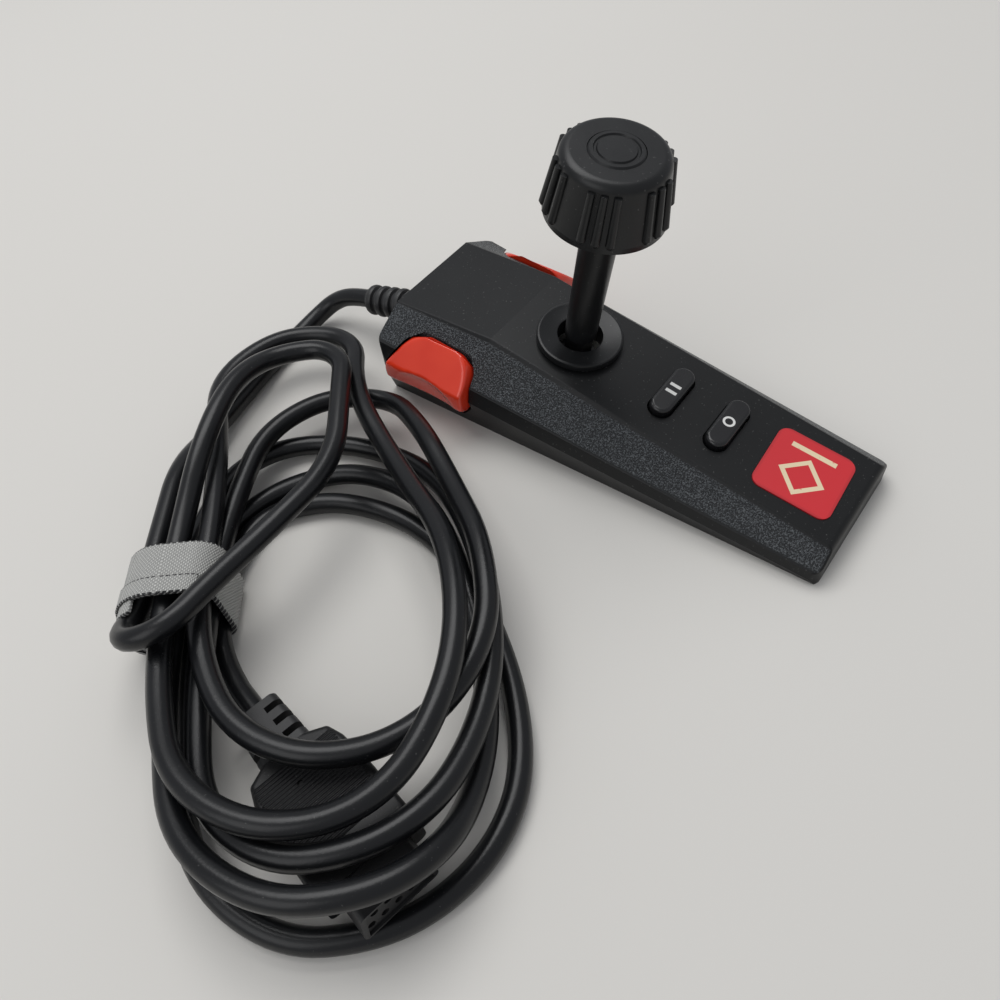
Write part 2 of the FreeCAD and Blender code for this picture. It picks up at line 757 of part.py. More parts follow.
def make_knob():
    """The hollow knob: tapered wall, inner socket, web for the screw and six groups of ribs."""
    top = "knob_bottom + knob_height"
    body = doc.addObject("PartDesign::Body", "KnobTurned")
    sketch = sketch_in(body, "KnobProfile", "XZ_Plane")
    outline(sketch, [("knob_socket_radius - 1.3", SHAFT_TOP + " + 0.1"),
                     ("knob_socket_radius - 1.3", "knob_bottom + 0.6"),
                     ("knob_socket_radius", "knob_bottom + 0.6"), ("knob_socket_radius", SHAFT_TOP + " - 0.6"),
                     ("knob_top_radius - knob_wall", SHAFT_TOP + " - 0.6"),
                     ("knob_bottom_radius - knob_wall", "knob_bottom"), ("knob_bottom_radius", "knob_bottom"),
                     ("knob_bottom_radius", "knob_bottom + 1.2"), ("knob_top_radius", top),
                     ("cap_radius + seat_gap", top),
                     ("cap_radius + seat_gap", f"{top} + cap_rise - cap_thickness"),
                     ("knob_screw_head + 0.3", f"{top} + cap_rise - cap_thickness"),
                     ("knob_screw_head + 0.3", SHAFT_TOP + " + knob_web"),
                     ("knob_screw_radius + 0.1", SHAFT_TOP + " + knob_web"),
                     ("knob_screw_radius + 0.1", SHAFT_TOP + " + 0.1")])
    revolve(body, "KnobTurn", sketch)
    high = size("knob_bottom") + size("knob_height")
    round_edges(body, "KnobRound", "knob_edge_round",
                lambda e, m: abs(m.z - high) < 0.01 and math.hypot(m.x, m.y) > size("knob_top_radius") - 0.1)
    low = size("knob_bottom") + 1.9
    drop = size("knob_height") - 1.9 - size("rib_fade")
    lean = math.degrees(math.atan2(size("knob_bottom_radius") - size("knob_top_radius"), size("knob_height")))
    ribs = []
    for group in range(int(size("rib_groups"))):
        for rib in range(int(size("ribs_per_group"))):
            turn = group * 360 / size("rib_groups") + (rib - 1) * size("rib_step") + size("rib_start")
            place = Placement(Vector(0, 0, 0), Rotation(Vector(0, 0, 1), turn)).multiply(
                at(size("knob_bottom_radius") - 0.15, 0, low, Rotation(Vector(0, 1, 0), -lean)))
            name = f"Rib{group}{rib}"
            ribs.append(primitive("Cone", name, place, Radius1="rib_radius", Radius2="rib_radius * 0.8",
                                  Height=str(drop)))
            tip_place = place.multiply(at(z=-size("rib_radius") * 0.7))
            ribs.append(primitive("Cone", name + "Tip", tip_place, Radius1="rib_radius * 0.5",
                                  Radius2="rib_radius", Height="rib_radius * 0.7"))
    node("knob", fuse("Knob", [body] + ribs), stick_place)


def make_cap():
    """The round insert in the top of the knob, with its ring groove."""
    top = "knob_bottom + knob_height + cap_rise"
    profile = [("0", f"{top} - cap_thickness + 0.1"), ("cap_radius", f"{top} - cap_thickness + 0.1"),
               ("cap_radius", f"{top} - 0.3"), ("cap_radius - 0.3", top), ("cap_radius - 1.0", top),
               ("cap_radius - 1.2", f"{top} - 0.3"), ("cap_radius - 1.6", f"{top} - 0.3"),
               ("cap_radius - 1.8", top), ("0", top)]
    turned_body("KnobCap", "knob_cap", profile, stick_place)


def make_knob_screw():
    """The screw that holds the knob on the shaft."""
    seat = SHAFT_TOP + " + knob_web"
    profile = [("0", f"{seat} - knob_screw_length"), ("knob_screw_radius", f"{seat} - knob_screw_length"),
               ("knob_screw_radius", seat), ("knob_screw_head", seat), ("knob_screw_head", f"{seat} + 1.1"),
               ("knob_screw_head - 0.6", f"{seat} + 1.6"), ("0", f"{seat} + 1.6")]
    turned_body("KnobScrew", "knob_screw", profile, stick_place)


def make_key(name, label, place):
    """One oval key: rounded top, flange that keeps it in and a stem down to its dome."""
    body = doc.addObject("PartDesign::Body", name + "Top")
    top = sketch_in(body, name + "Outline", "XY_Plane", "-key_flange_depth")
    rectangle(top, "key_length / 2", "key_width / 2")
    pad(body, name + "Pad", top, "key_rise + key_flange_depth")
    body.Tip = body.Group[-1]
    round_edges(body, name + "Ends", "key_width / 2 - 0.02", upright)
    round_edges(body, name + "Rim", "key_rim_round", lambda e, m: abs(m.z - size("key_rise")) < 0.01)
    flange = primitive("Box", name + "Flange",
                       at(-size("key_length") / 2 - size("key_flange_end"),
                          -size("key_width") / 2 - size("key_flange_side"), -size("key_flange_depth")),
                       Length="key_length + 2 * key_flange_end", Width="key_width + 2 * key_flange_side",
                       Height="key_flange")
    reach = key_stem_reach(place)
    stem = primitive("Cylinder", name + "Stem", at(z=-reach), Radius="key_stem_radius",
                     Height=str(reach - 1))
    node(label, fuse(name, [body, flange, stem]), place)


def key_stem_reach(place):
    """How far below the plate a key's stem ends, so that its travel just reaches the dome."""
    dome_top = size("board_bottom") + size("board_thickness") + size("dome_height")
    rise = place.Base.z - dome_top - size("key_travel") - size("stem_gap")
    return rise / math.cos(slope)


def make_badge():
    """The square label with rounded corners, in its shallow recess."""
    body = doc.addObject("PartDesign::Body", "Badge")
    sketch = sketch_in(body, "BadgeOutline", "XY_Plane", "-badge_recess")
    rectangle(sketch, "badge_side / 2", "badge_side / 2")
    pad(body, "BadgePad", sketch, "badge_thickness")
    body.Tip = body.Group[-1]
    round_edges(body, "BadgeCorners", "badge_corner", upright)
    node("badge", body, badge_place)


def make_board():
    """The circuit board with its four screw holes."""
    body = doc.addObject("PartDesign::Body", "CircuitBoard")
    sketch = sketch_in(body, "BoardOutline")
    outline(sketch, [("-board_half_width", "board_front"), ("board_half_width", "board_front"),
                     ("board_half_width", "board_rear"), ("-board_half_width", "board_rear")])
    for x in ("-board_screw_side", "board_screw_side"):
        for y in ("board_screw_front", "board_screw_rear"):
            circle(sketch, "board_screw_radius + 0.15", x, y)
    pad(body, "BoardPad", sketch, "board_thickness")
    doc.recompute()
    node("circuit_board", body, at(z=size("board_bottom")))


def make_domes():
    """Rubber domes: four round the stick's foot, then one under each key."""
    board_top = size("board_bottom") + size("board_thickness")
    around = [(size("stick_dome_circle") * math.cos(math.radians(a)),
               size("disc_back") + size("stick_dome_circle") * math.sin(math.radians(a)))
              for a in range(0, 360, 90)]
    under_keys = []
    for place in (rear_key_place, front_key_place):
        end = place.multVec(Vector(0, 0, -key_stem_reach(place)))
        under_keys.append((end.x, end.y))
    for label, name, points in (("stick_domes", "StickDome", around), ("key_domes", "KeyDome", under_keys)):
        cones = [primitive("Cone", f"{name}{i}", at(x, y, board_top), Radius1="dome_radius",
                           Radius2="dome_radius / 2", Height="dome_height")
                 for i, (x, y) in enumerate(points)]
        node(label, fuse(name + "s", cones))


def make_screws():
    """Screws, four for the case and four for the board, then the two trigger pins."""
    case = []
    seat = size("screw_seat")
    for i, (x, y) in enumerate(case_screw_points):
        case.append(primitive("Cylinder", f"CaseHead{i}", at(x, y, seat - size("screw_head_height")),
                              Radius="screw_head_radius", Height="screw_head_height"))
        case.append(primitive("Cylinder", f"CaseShank{i}", at(x, y, seat - 0.1), Radius="screw_radius",
                              Height="screw_length"))
    slots = [primitive("Box", f"CaseSlot{i}", at(x - 1.4, y - 0.3, 0), Length="2.8", Width="0.6",
                       Height="screw_seat - screw_head_height + 0.6")
             for i, (x, y) in enumerate(case_screw_points)]
    node("case_screws", cut("CaseScrews", fuse("CaseScrewBlanks", case), slots))
    board = []
    board_top = size("board_bottom") + size("board_thickness")
    for i, (x, y) in enumerate(board_screw_points):
        board.append(primitive("Cylinder", f"BoardHead{i}", at(x, y, board_top), Radius="board_screw_head",
                               Height="board_head_height"))
        board.append(primitive("Cylinder", f"BoardShank{i}",
                               at(x, y, board_top - size("board_screw_length")),
                               Radius="board_screw_radius", Height="board_screw_length + 0.1"))
    node("board_screws", fuse("BoardScrews", board))
    pins = [primitive("Cylinder", f"TriggerPin{i}", at(x, size("trigger_pin_back"), wall),
                      Radius="trigger_pin_radius", Height="pin_top - wall")
            for i, x in enumerate((-size("trigger_pin_in"), size("trigger_pin_in")))]
    node("trigger_pins", fuse("TriggerPins", pins))


def make_leaf(name, label, side):
    """A leaf switch beside a trigger's rib: its block on the board and its thin blade."""
    board_top = size("board_bottom") + size("board_thickness")
    block_x = size("leaf_reach") - size("leaf_block")
    x = block_x if side > 0 else -size("leaf_reach")
    block = primitive("Box", name + "Block", at(x, size("leaf_back"), board_top), Length="leaf_block",
                      Width="leaf_foot", Height="leaf_height")
    blade_x = size("leaf_reach") - 0.05 if side > 0 else -size("leaf_reach") - size("leaf_thickness")
    blade = primitive("Box", name + "Blade", at(blade_x, size("leaf_back"), board_top + 0.8),
                      Length="leaf_thickness + 0.05", Width="leaf_length", Height="leaf_height - 1")
    node(label, fuse(name, [block, blade]))


def make_wire_block():
    """The block on the board that the cord's wires plug into."""
    board_top = size("board_bottom") + size("board_thickness")
    side = size("wire_block_side")
    back = size("wire_block_back")
    block = primitive("Box", "WireBlockBody", at(-side / 2, back, board_top), Length="wire_block_side",
                      Width="wire_block_deep", Height="wire_block_deep")
    sockets = [primitive("Box", f"WireSocket{i}",
                         at(-side / 2 + 0.6 + size("wire_pitch") * i, back + 3, board_top + 1.2),
                         Length="1.2", Width="2.5", Height="1.4")
               for i in range(int(size("wire_count")))]
    node("wire_block", cut("WireBlock", block, sockets))


def relief_place():
    """Where the cord's relief leaves the rear wall, its Z along the sleeve, which droops a little."""
    turn = math.radians(size("relief_turn"))
    droop = math.radians(size("relief_droop"))
    along = Vector(-math.sin(turn) * math.cos(droop), math.cos(turn) * math.cos(droop), -math.sin(droop))
    return Placement(Vector(size("relief_side"), half_length + size("relief_outside"), relief_height - 0.1),
                     Rotation(Vector(0, 0, 1), along))


def make_relief():
    """The rubber sleeve round the cord: flange behind the wall, neck in the hole and rounded rings."""
    straight = at(size("relief_side"), half_length, relief_height, ALONG_Y)
    leaning = relief_place()
    neck = primitive("Cylinder", "ReliefNeck", straight.multiply(at(z=-size("relief_inside"))),
                     Radius="relief_hole - 0.1", Height="relief_inside + 1")
    flange = primitive("Cylinder", "ReliefFlange", straight.multiply(at(z=-size("relief_inside"))),
                       Radius="relief_flange", Height="relief_flange_wall")
    step = size("relief_length") / size("relief_rings")
    profile = [("0", "0")]
    for i in range(int(size("relief_rings"))):
        taper = f"0.1 * {i}"
        for out, along in ((0.9, 0.12), (0.2, 0.22), (0.0, 0.38), (0.0, 0.55), (0.2, 0.72), (0.9, 0.84)):
            profile.append((f"relief_ring_radius - {taper} - {out}", f"{step * (i + along):.4f}"))
    profile += [(f"relief_radius - {taper}", "relief_length"), ("0", "relief_length")]
    body = doc.addObject("PartDesign::Body", "ReliefSleeve")
    sketch = sketch_in(body, "ReliefProfile", "XZ_Plane")
    outline(sketch, profile)
    revolve(body, "ReliefTurn", sketch)
    body.Placement = leaning
    node("strain_relief", fuse("StrainRelief", [neck, flange, body]))


# The bundle lies beside the body in a frame of its own: across its tie, along its loops, and up
BUNDLE_CENTRE = Vector(-98.0, 48.0, 0)
BUNDLE_ACROSS = Vector(0.643, -0.766, 0).normalize()
BUNDLE_ALONG = Vector(0.766, 0.643, 0).normalize()

# Places that the bundled cord passes: across, along and up in mm, then heading and climb in degrees
TURNS = [
    (-6.8, 15.5, 10.6, -90.0, 2.9),
    (-6.8, 0.0, 11.6, -90.0, 5.7),
    (-0.69, -16.14, 20.27, -0.1, 18.0),
    (14.54, -2.09, 20.77, 49.6, -0.1),
    (33.37, 35.06, 18.76, 90.2, 0.5),
    (23.91, 62.05, 18.02, -179.9, -0.2),
    (7.48, 44.45, 22.39, -104.2, 2.3),
    (0.0, 0.0, 14.75, -90.0, 0.0),
    (31.14, -52.98, 19.88, -3.5, -0.8),
    (59.48, -18.04, 21.49, 89.1, -2.0),
    (40.0, 39.25, 14.07, 114.1, 0.8),
    (21.36, 75.78, 10.99, -178.0, 0.9),
    (6.8, 0.0, 14.75, -90.0, 0.0),
    (36.29, -40.24, 15.87, -1.1, -3.0),
    (65.06, -10.55, 17.09, 91.1, 1.0),
    (54.61, 29.58, 12.78, 111.2, -1.7),
    (33.22, 53.88, 8.29, -178.5, 4.7),
    (6.8, 0.0, 9.3, -90.0, 0.0),
    (36.33, -57.35, 16.62, 1.8, 4.3),
    (65.23, -17.59, 11.58, 89.1, -0.2),
    (24.35, 44.34, 2.9, 175.4, 2.7),
    (0.0, 0.0, 9.3, -90.0, 0.0),
    (37.09, -64.29, 18.58, -0.8, 1.8),
    (63.23, -24.79, 6.15, 92.5, 6.6),
    (25.41, 33.01, 3.48, -178.2, -8.0),
    (0.0, 0.0, 3.85, -90.0, 0.0),
    (36.0, -67.0, 2.49, -0.0, -0.0),
    (69.12, -34.15, 2.5, 92.5, -0.1),
    (22.27, 25.93, 2.53, -177.6, 0.2),
    (6.8, 0.0, 3.85, -90.0, 0.0),
    (15.5, -22.9, 4.45, -51.0, 5.7),
]

# The free stretch between the relief and the bundle: where its corners stand, in mm
LEAD_POINTS = [(-9.3, 89.3, 6.4), (-14.5, 91.8, 3.6), (-22.0, 91.9, 2.6), (-35.3, 90.1, 2.6),
               (-48.6, 87.2, 2.6), (-61.1, 83.4, 3.6)]

# The plug's moulding: half widths and how far along it they stand, in mm
PLUG_HALF_WIDTHS = [(5.5, 0.0), (8.5, 1.5), (9.6, 5.0), (10.2, 12.0)]


def in_bundle(across, along, up):
    """A point of the bundle in the part's frame."""
    return BUNDLE_CENTRE + BUNDLE_ACROSS * across + BUNDLE_ALONG * along + Vector(0, 0, up)


def direction_in_bundle(heading, climb):
    """A direction in the bundle from its heading and its climb in degrees."""
    flat = math.cos(math.radians(climb))
    across = flat * math.cos(math.radians(heading))
    along = flat * math.sin(math.radians(heading))
    return BUNDLE_ACROSS * across + BUNDLE_ALONG * along + Vector(0, 0, math.sin(math.radians(climb)))


def arc_between(start, corner, end):
    """The arc whose tangents meet at the corner, and its radius."""
    half = (corner - start).getAngle(end - corner) / 2
    middle = (start + end) / 2
    bulge = (corner - middle) * (math.tan(half / 2) / math.tan(half))
    return Part.Arc(start, middle + bulge, end).toShape(), (corner - start).Length / math.tan(half)


def two_arcs(start, leaving, end, arriving):
    """Two arcs that join two places in their directions."""
    gap = end - start
    both = leaving + arriving
    spread = 2 * (1 - leaving.dot(arriving))
    root = math.sqrt(gap.dot(both) ** 2 + spread * gap.dot(gap))
    reach = (root - gap.dot(both)) / spread
    first = start + leaving * reach
    second = end - arriving * reach
    join = (first + second) / 2
    return [arc_between(start, first, join), arc_between(join, second, end)]


def rounded_route(points):
    """Straight runs with an arc at each corner, as large as its runs allow."""
    edges = []
    radii = []
    here = points[0]
    for before, corner, after in zip(points, points[1:], points[2:]):
        back = corner - before
        ahead = after - corner
        reach = size("corner_share") * min(back.Length, ahead.Length)
        start = corner - back.normalize() * reach
        end = corner + ahead.normalize() * reach
        arc, radius = arc_between(start, corner, end)
        edges += [Part.LineSegment(here, start).toShape(), arc]
        radii.append(radius)
        here = end
    edges.append(Part.LineSegment(here, points[-1]).toShape())
    return edges, radii


def tube(name, edges, radii):
    """One round tube along joined edges, its volume compared with its section times its length."""
    wire = Part.Wire(edges)
    radius = size("cord_diameter") / 2
    ring = Part.Circle(edges[0].valueAt(edges[0].FirstParameter),
                       edges[0].tangentAt(edges[0].FirstParameter), radius)
    solid = wire.makePipeShell([Part.Wire([ring.toShape()])], True, False)
    share = solid.Volume / (math.pi * radius ** 2 * wire.Length)
    print(name, "length", round(wire.Length, 1), "mm, volume over section times length", round(share, 4))
    print(name, "radii in mm, smallest first", [round(r, 1) for r in sorted(radii)[:10]])
    return feature(name, solid), wire


def least_gap(wire):
    """The least gap of a tube to itself, measured between points of its middle line."""
    points = wire.discretize(Distance=size("gap_step"))
    skip = int(size("gap_apart") / size("gap_step"))
    least = min(p.distanceToPoint(q) for i, p in enumerate(points) for q in points[i + skip:])
    return least - size("cord_diameter")


def make_lead(bundle_start, bundle_direction):
    """The free stretch from the strain relief to the bundle."""
    relief = relief_place()
    axis = relief.Rotation.multVec(Vector(0, 0, 1))
    start = relief.multVec(Vector(0, 0, size("relief_length")))
    points = [start, start + axis * size("lead_first_run")]
    points += [Vector(*place) for place in LEAD_POINTS]
    points += [bundle_start - bundle_direction * size("lead_last_run"), bundle_start]
    lead, wire = tube("CordLead", *rounded_route(points))
    node("cord_lead", lead)
    return wire.Length


def make_coil():
    """The bundled stretch: one tube that leaves the lead and ends at the plug, square at both ends."""
    straight = size("cord_diameter")
    turns = [(in_bundle(*row[:3]), direction_in_bundle(*row[3:])) for row in TURNS]
    first, leaving = turns[0]
    last, arriving = turns[-1]
    start = first - leaving * straight
    end = last + arriving * straight
    edges = [Part.LineSegment(start, first).toShape()]
    radii = []
    for (here, out), (there, into) in zip(turns, turns[1:]):
        for edge, radius in two_arcs(here, out, there, into):
            edges.append(edge)
            radii.append(radius)
    edges.append(Part.LineSegment(last, end).toShape())
    coil, wire = tube("CordCoil", edges, radii)
    print("CordCoil least gap to itself", round(least_gap(wire), 2), "mm")
    node("cord_coil", coil)
    whole = wire.Length + make_lead(start, leaving)
    print("cord's whole length", round(whole, 1), "mm")
    return end, arriving


def strap_block(grow):
    """The strap's inside, grown by an amount, with its four corners rounded."""
    half = size("tie_half_width") + grow
    low = size("tie_low") - grow
    high = size("tie_high") + grow
    width = size("strap_width")
    block = Part.makeBox(2 * half, width, high - low, Vector(-half, -width / 2, low))
    along = [e for e in block.Edges if abs(e.tangentAt(e.FirstParameter).y) > 0.9]
    return block.makeFillet(size("tie_corner") + grow, along)


def make_tie():
    """The cloth strap round the strands, with its end lapped over itself at the top."""
    thick = size("strap_thickness")
    ring = strap_block(thick).cut(strap_block(0))
    layer = strap_block(thick + size("strap_lap")).cut(strap_block(thick))
    half = size("tie_half_width")
    reach = half + size("strap_lap_reach")
    window = Part.makeBox(reach + size("strap_lap_end"), size("strap_lap_width"), size("tie_high"),
                          Vector(-reach, -size("strap_width") / 2, size("tie_high") - size("strap_lap_drop")))
    strap = ring.fuse(layer.common(window)).removeSplitter()
    turn = Rotation(BUNDLE_ACROSS, BUNDLE_ALONG, Vector(0, 0, 1), "XYZ")
    node("cord_tie", feature("CordTie", strap), Placement(BUNDLE_CENTRE, turn))


def plug_place(end, direction):
    """The plug's placement: Y runs along it from the cord's end, Z leaves its broad upper face."""
    across = direction.cross(Vector(0, 0, 1)).normalize()
    up = across.cross(direction).normalize()
    return Placement(end, Rotation(across, direction, up, "XYZ"))


def slab(right_half, thickness):
    """A flat slab of this thickness from the points of its right half."""
    points = [Vector(x, y, -thickness / 2) for x, y in right_half]
    points += [Vector(-x, y, -thickness / 2) for x, y in reversed(right_half)]
    return Part.Face(Part.makePolygon(points + points[:1])).extrude(Vector(0, 0, thickness))


def make_plug_relief(place):
    """The plug's own relief, slotted from both sides down to a core."""
    length = size("neck_length")
    block = slab([(size("neck_half_rear"), 0), (size("neck_half_front"), length)], size("neck_thickness"))
    along = [e for e in block.Edges if abs(e.tangentAt(e.FirstParameter).y) > 0.9]
    block = block.makeFillet(size("neck_round"), along)
    wide, deep, tall = size("neck_half_front"), size("slot_width"), 2 * size("neck_thickness")
    slots = []
    for i in range(int(size("slot_count"))):
        y = size("slot_first") + i * size("slot_pitch")
        slots.append(Part.makeBox(wide, deep, tall, Vector(size("slot_core"), y, -tall / 2)))
        slots.append(Part.makeBox(wide, deep, tall, Vector(-size("slot_core") - wide, y, -tall / 2)))
    node("plug_relief", feature("PlugRelief", block.cut(slots)), place)


def make_plug_body(place):
    """The plug's moulding with its rounded edges and the small dimple on its upper face."""
    length = size("plug_length")
    thick = size("plug_thickness")
    block = slab(PLUG_HALF_WIDTHS + [(PLUG_HALF_WIDTHS[-1][0], length)], thick)
    block = block.makeFillet(size("plug_round"), [e for e in block.Edges if e.CenterOfMass.y < length - 1
                                                  and e.CenterOfMass.y > 0.1])
    dimple = Part.makeCylinder(size("dimple_radius"), thick,
                               Vector(size("dimple_side"), size("dimple_along"),
                                      thick / 2 - size("dimple_depth")))
    node("plug_body", feature("PlugBody", block.cut(dimple)), place)


def contact_places():
    """Middles of the plug's contacts: a long row and a short one, seen from the front."""
    rows = ((size("contacts_low"), -1), (size("contacts_high"), 1))
    return [((i - (count - 1) / 2) * size("contact_pitch"), row * size("contact_row") / 2)
            for count, row in rows for i in range(int(count))]


def contact_pin(radius, from_front, length):
    """Cylinders in all contact places, from this far behind the nose's front."""
    y = size("nose_length") - from_front
    return [Part.makeCylinder(radius, length, Vector(x, y, z), Vector(0, 1, 0))
            for x, z in contact_places()]


def make_plug_nose(place):
    """The nose, wider below than above, with its rim and the bores of its contacts."""
    half = size("nose_height") / 2
    length = size("nose_length")
    corners = [(size("nose_half_top"), half), (size("nose_half_bottom"), -half),
               (-size("nose_half_bottom"), -half), (-size("nose_half_top"), half)]
    ring = [Vector(x, 0, z) for x, z in corners + corners[:1]]
    nose = Part.Face(Part.makePolygon(ring)).extrude(Vector(0, length, 0))
    along = [e for e in nose.Edges if abs(e.tangentAt(e.FirstParameter).y) > 0.9]
    nose = nose.makeFillet(size("nose_round"), along)
    inner = [Vector(x * size("rim_share"), length - size("rim_depth"), z * size("rim_share"))
             for x, z in corners + corners[:1]]
    recess = Part.Face(Part.makePolygon(inner)).extrude(Vector(0, length, 0))
    bores = contact_pin(size("contact_radius"), size("bore_depth"), size("nose_length"))
    node("plug_nose", feature("PlugNose", nose.cut([recess] + bores)), place)


def make_contacts(place):
    """The spring sleeves that stand pressed into the nose's bores."""
    sleeves = contact_pin(size("contact_radius"), size("bore_depth"), size("sleeve_length"))
    holes = contact_pin(size("sleeve_hole"), size("bore_depth") - size("sleeve_floor"), size("sleeve_length"))
    pieces = [sleeve.cut(hole) for sleeve, hole in zip(sleeves, holes)]
    node("plug_contacts", feature("PlugContacts", Part.makeCompound(pieces)), place)


def make_plug(place):
    """The plug on the cord's end, piece by piece towards its front."""
    make_plug_relief(place)
    body = place.multiply(at(y=size("neck_length")))
    make_plug_body(body)
    nose = body.multiply(at(y=size("plug_length")))
    make_plug_nose(nose)
    make_contacts(nose)


make_collar()
make_pivot_ring()
make_shaft()
make_contact_disc()
make_knob()
make_cap()
make_knob_screw()
make_key("RearKey", "rear_key", rear_key_place)
make_key("FrontKey", "front_key", front_key_place)
make_badge()
make_board()
make_domes()
make_screws()
make_leaf("LeftLeaf", "left_leaf", -1)
make_leaf("RightLeaf", "right_leaf", 1)
make_wire_block()
make_relief()
cord_end, cord_direction = make_coil()
make_tie()
make_plug(plug_place(cord_end, cord_direction))

doc.recompute()
for item in doc.Objects:
    state = [word for word in item.State if word in ("Invalid", "Error")]
    if state:
        raise RuntimeError(f"{item.Name} is {state}")
os.makedirs("parts", exist_ok=True)
for item in nodes:
    shape = item.Shape
    if shape.isNull() or not shape.isValid() or shape.Volume <= 0:
        raise RuntimeError(f"{item.Label} has no valid solid")
    box = shape.BoundBox
    print(item.Label, len(shape.Solids), round(shape.Volume, 1), "x", round(box.XMin, 2), round(box.XMax, 2),
          "y", round(box.YMin, 2), round(box.YMax, 2), "z", round(box.ZMin, 2), round(box.ZMax, 2))
    shape.exportStep(f"parts/{item.Label}.step")
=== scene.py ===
# %% [markdown]
# A hand-held stick controller, dressed for its picture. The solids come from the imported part, and most
# of them are shown as they are. The triggers, the collar, the knob's turn, the strap and the cord are
# made here, because they are rounder or softer than their solids. The rest of the file is finishes,
# floor, lamps and camera. Everything is in metres, in the part's own frame.

# %% Load the part
import math

import bmesh
import bpy
from mathutils import Matrix, Vector


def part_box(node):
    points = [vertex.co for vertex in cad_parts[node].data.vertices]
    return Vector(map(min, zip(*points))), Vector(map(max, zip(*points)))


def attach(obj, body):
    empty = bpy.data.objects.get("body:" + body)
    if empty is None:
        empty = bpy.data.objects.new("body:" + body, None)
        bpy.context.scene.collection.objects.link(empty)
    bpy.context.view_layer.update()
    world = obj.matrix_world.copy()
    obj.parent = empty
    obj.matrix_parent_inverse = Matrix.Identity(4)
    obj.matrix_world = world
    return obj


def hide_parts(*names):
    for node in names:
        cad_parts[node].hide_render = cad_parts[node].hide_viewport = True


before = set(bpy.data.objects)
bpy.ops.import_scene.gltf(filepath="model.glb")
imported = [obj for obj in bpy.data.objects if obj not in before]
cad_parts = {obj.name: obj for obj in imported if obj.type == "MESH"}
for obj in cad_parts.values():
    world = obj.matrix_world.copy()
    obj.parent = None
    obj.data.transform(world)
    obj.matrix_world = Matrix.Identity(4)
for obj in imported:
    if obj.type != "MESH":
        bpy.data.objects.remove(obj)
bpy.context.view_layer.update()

# %% [markdown]
# The camera comes first, so that every later step can be judged through it. It looks down on the part
# from its left front corner, close enough for the perspective to show. A camera could be aimed with a
# Track To constraint, but this one's place and three axes (right, down and forward) were worked out from
# points on the part, so they are written as they are.

# %% Camera
MM = 0.001
EYE = Vector((-123.43, -72.27, 156.63)) * MM
RIGHT = Vector((0.60180, -0.79379, -0.08798))
DOWN = Vector((-0.66501, -0.43704, -0.60561))
FORWARD = Vector((0.44227, 0.42296, -0.79089))
SENSOR_WIDTH = 36.0
FOCAL_SHARE = 0.8499  # focal length over the picture's width

camera_data = bpy.data.cameras.new("camera")
camera_data.sensor_width = SENSOR_WIDTH
camera_data.lens = SENSOR_WIDTH * FOCAL_SHARE
camera_data.clip_start = 0.01
camera = bpy.data.objects.new("camera", camera_data)
bpy.context.scene.collection.objects.link(camera)
axes = Matrix((RIGHT, -DOWN, -FORWARD)).transposed().to_4x4()
camera.matrix_world = Matrix.Translation(EYE) @ axes
bpy.context.scene.camera = camera
bpy.context.scene.view_settings.view_transform = "Standard"
print("camera at", [round(c, 4) for c in EYE])

# %% [markdown]
# The cord is one round sheath, 1.69 m long and 4.8 mm thick, shown from end to end. It leaves the
# rubber relief, drops to the table and runs into a hand-made bundle: six loose loops of different
# sizes, held by a strap where they lie side by side. A bend that a hand makes is close to an arc, so
# each loop is written as the places that it passes and its headings there.

# %% The cord's turns
CORD_WIDTH = 4.8 * MM
RELIEF_END = Vector((-6.54, 76.24, 10.84)) * MM
RELIEF_AXIS = Vector((-0.1378, 0.9806, -0.1392))
RELIEF_RUN = 7.0 * MM
BUNDLE_RUN_IN = 15.0 * MM
BUNDLE_CENTRE = Vector((-98.0, 48.0, 0)) * MM
BUNDLE_ACROSS = Vector((0.643, -0.766, 0)).normalized()
BUNDLE_ALONG = Vector((0.766, 0.643, 0)).normalized()

# Corners of the free stretch, in mm
LEAD_POINTS = [(-9.3, 89.3, 6.4), (-14.5, 91.8, 3.6), (-22.0, 91.9, 2.6), (-35.3, 90.1, 2.6),
               (-48.6, 87.2, 2.6), (-61.1, 83.4, 3.6)]

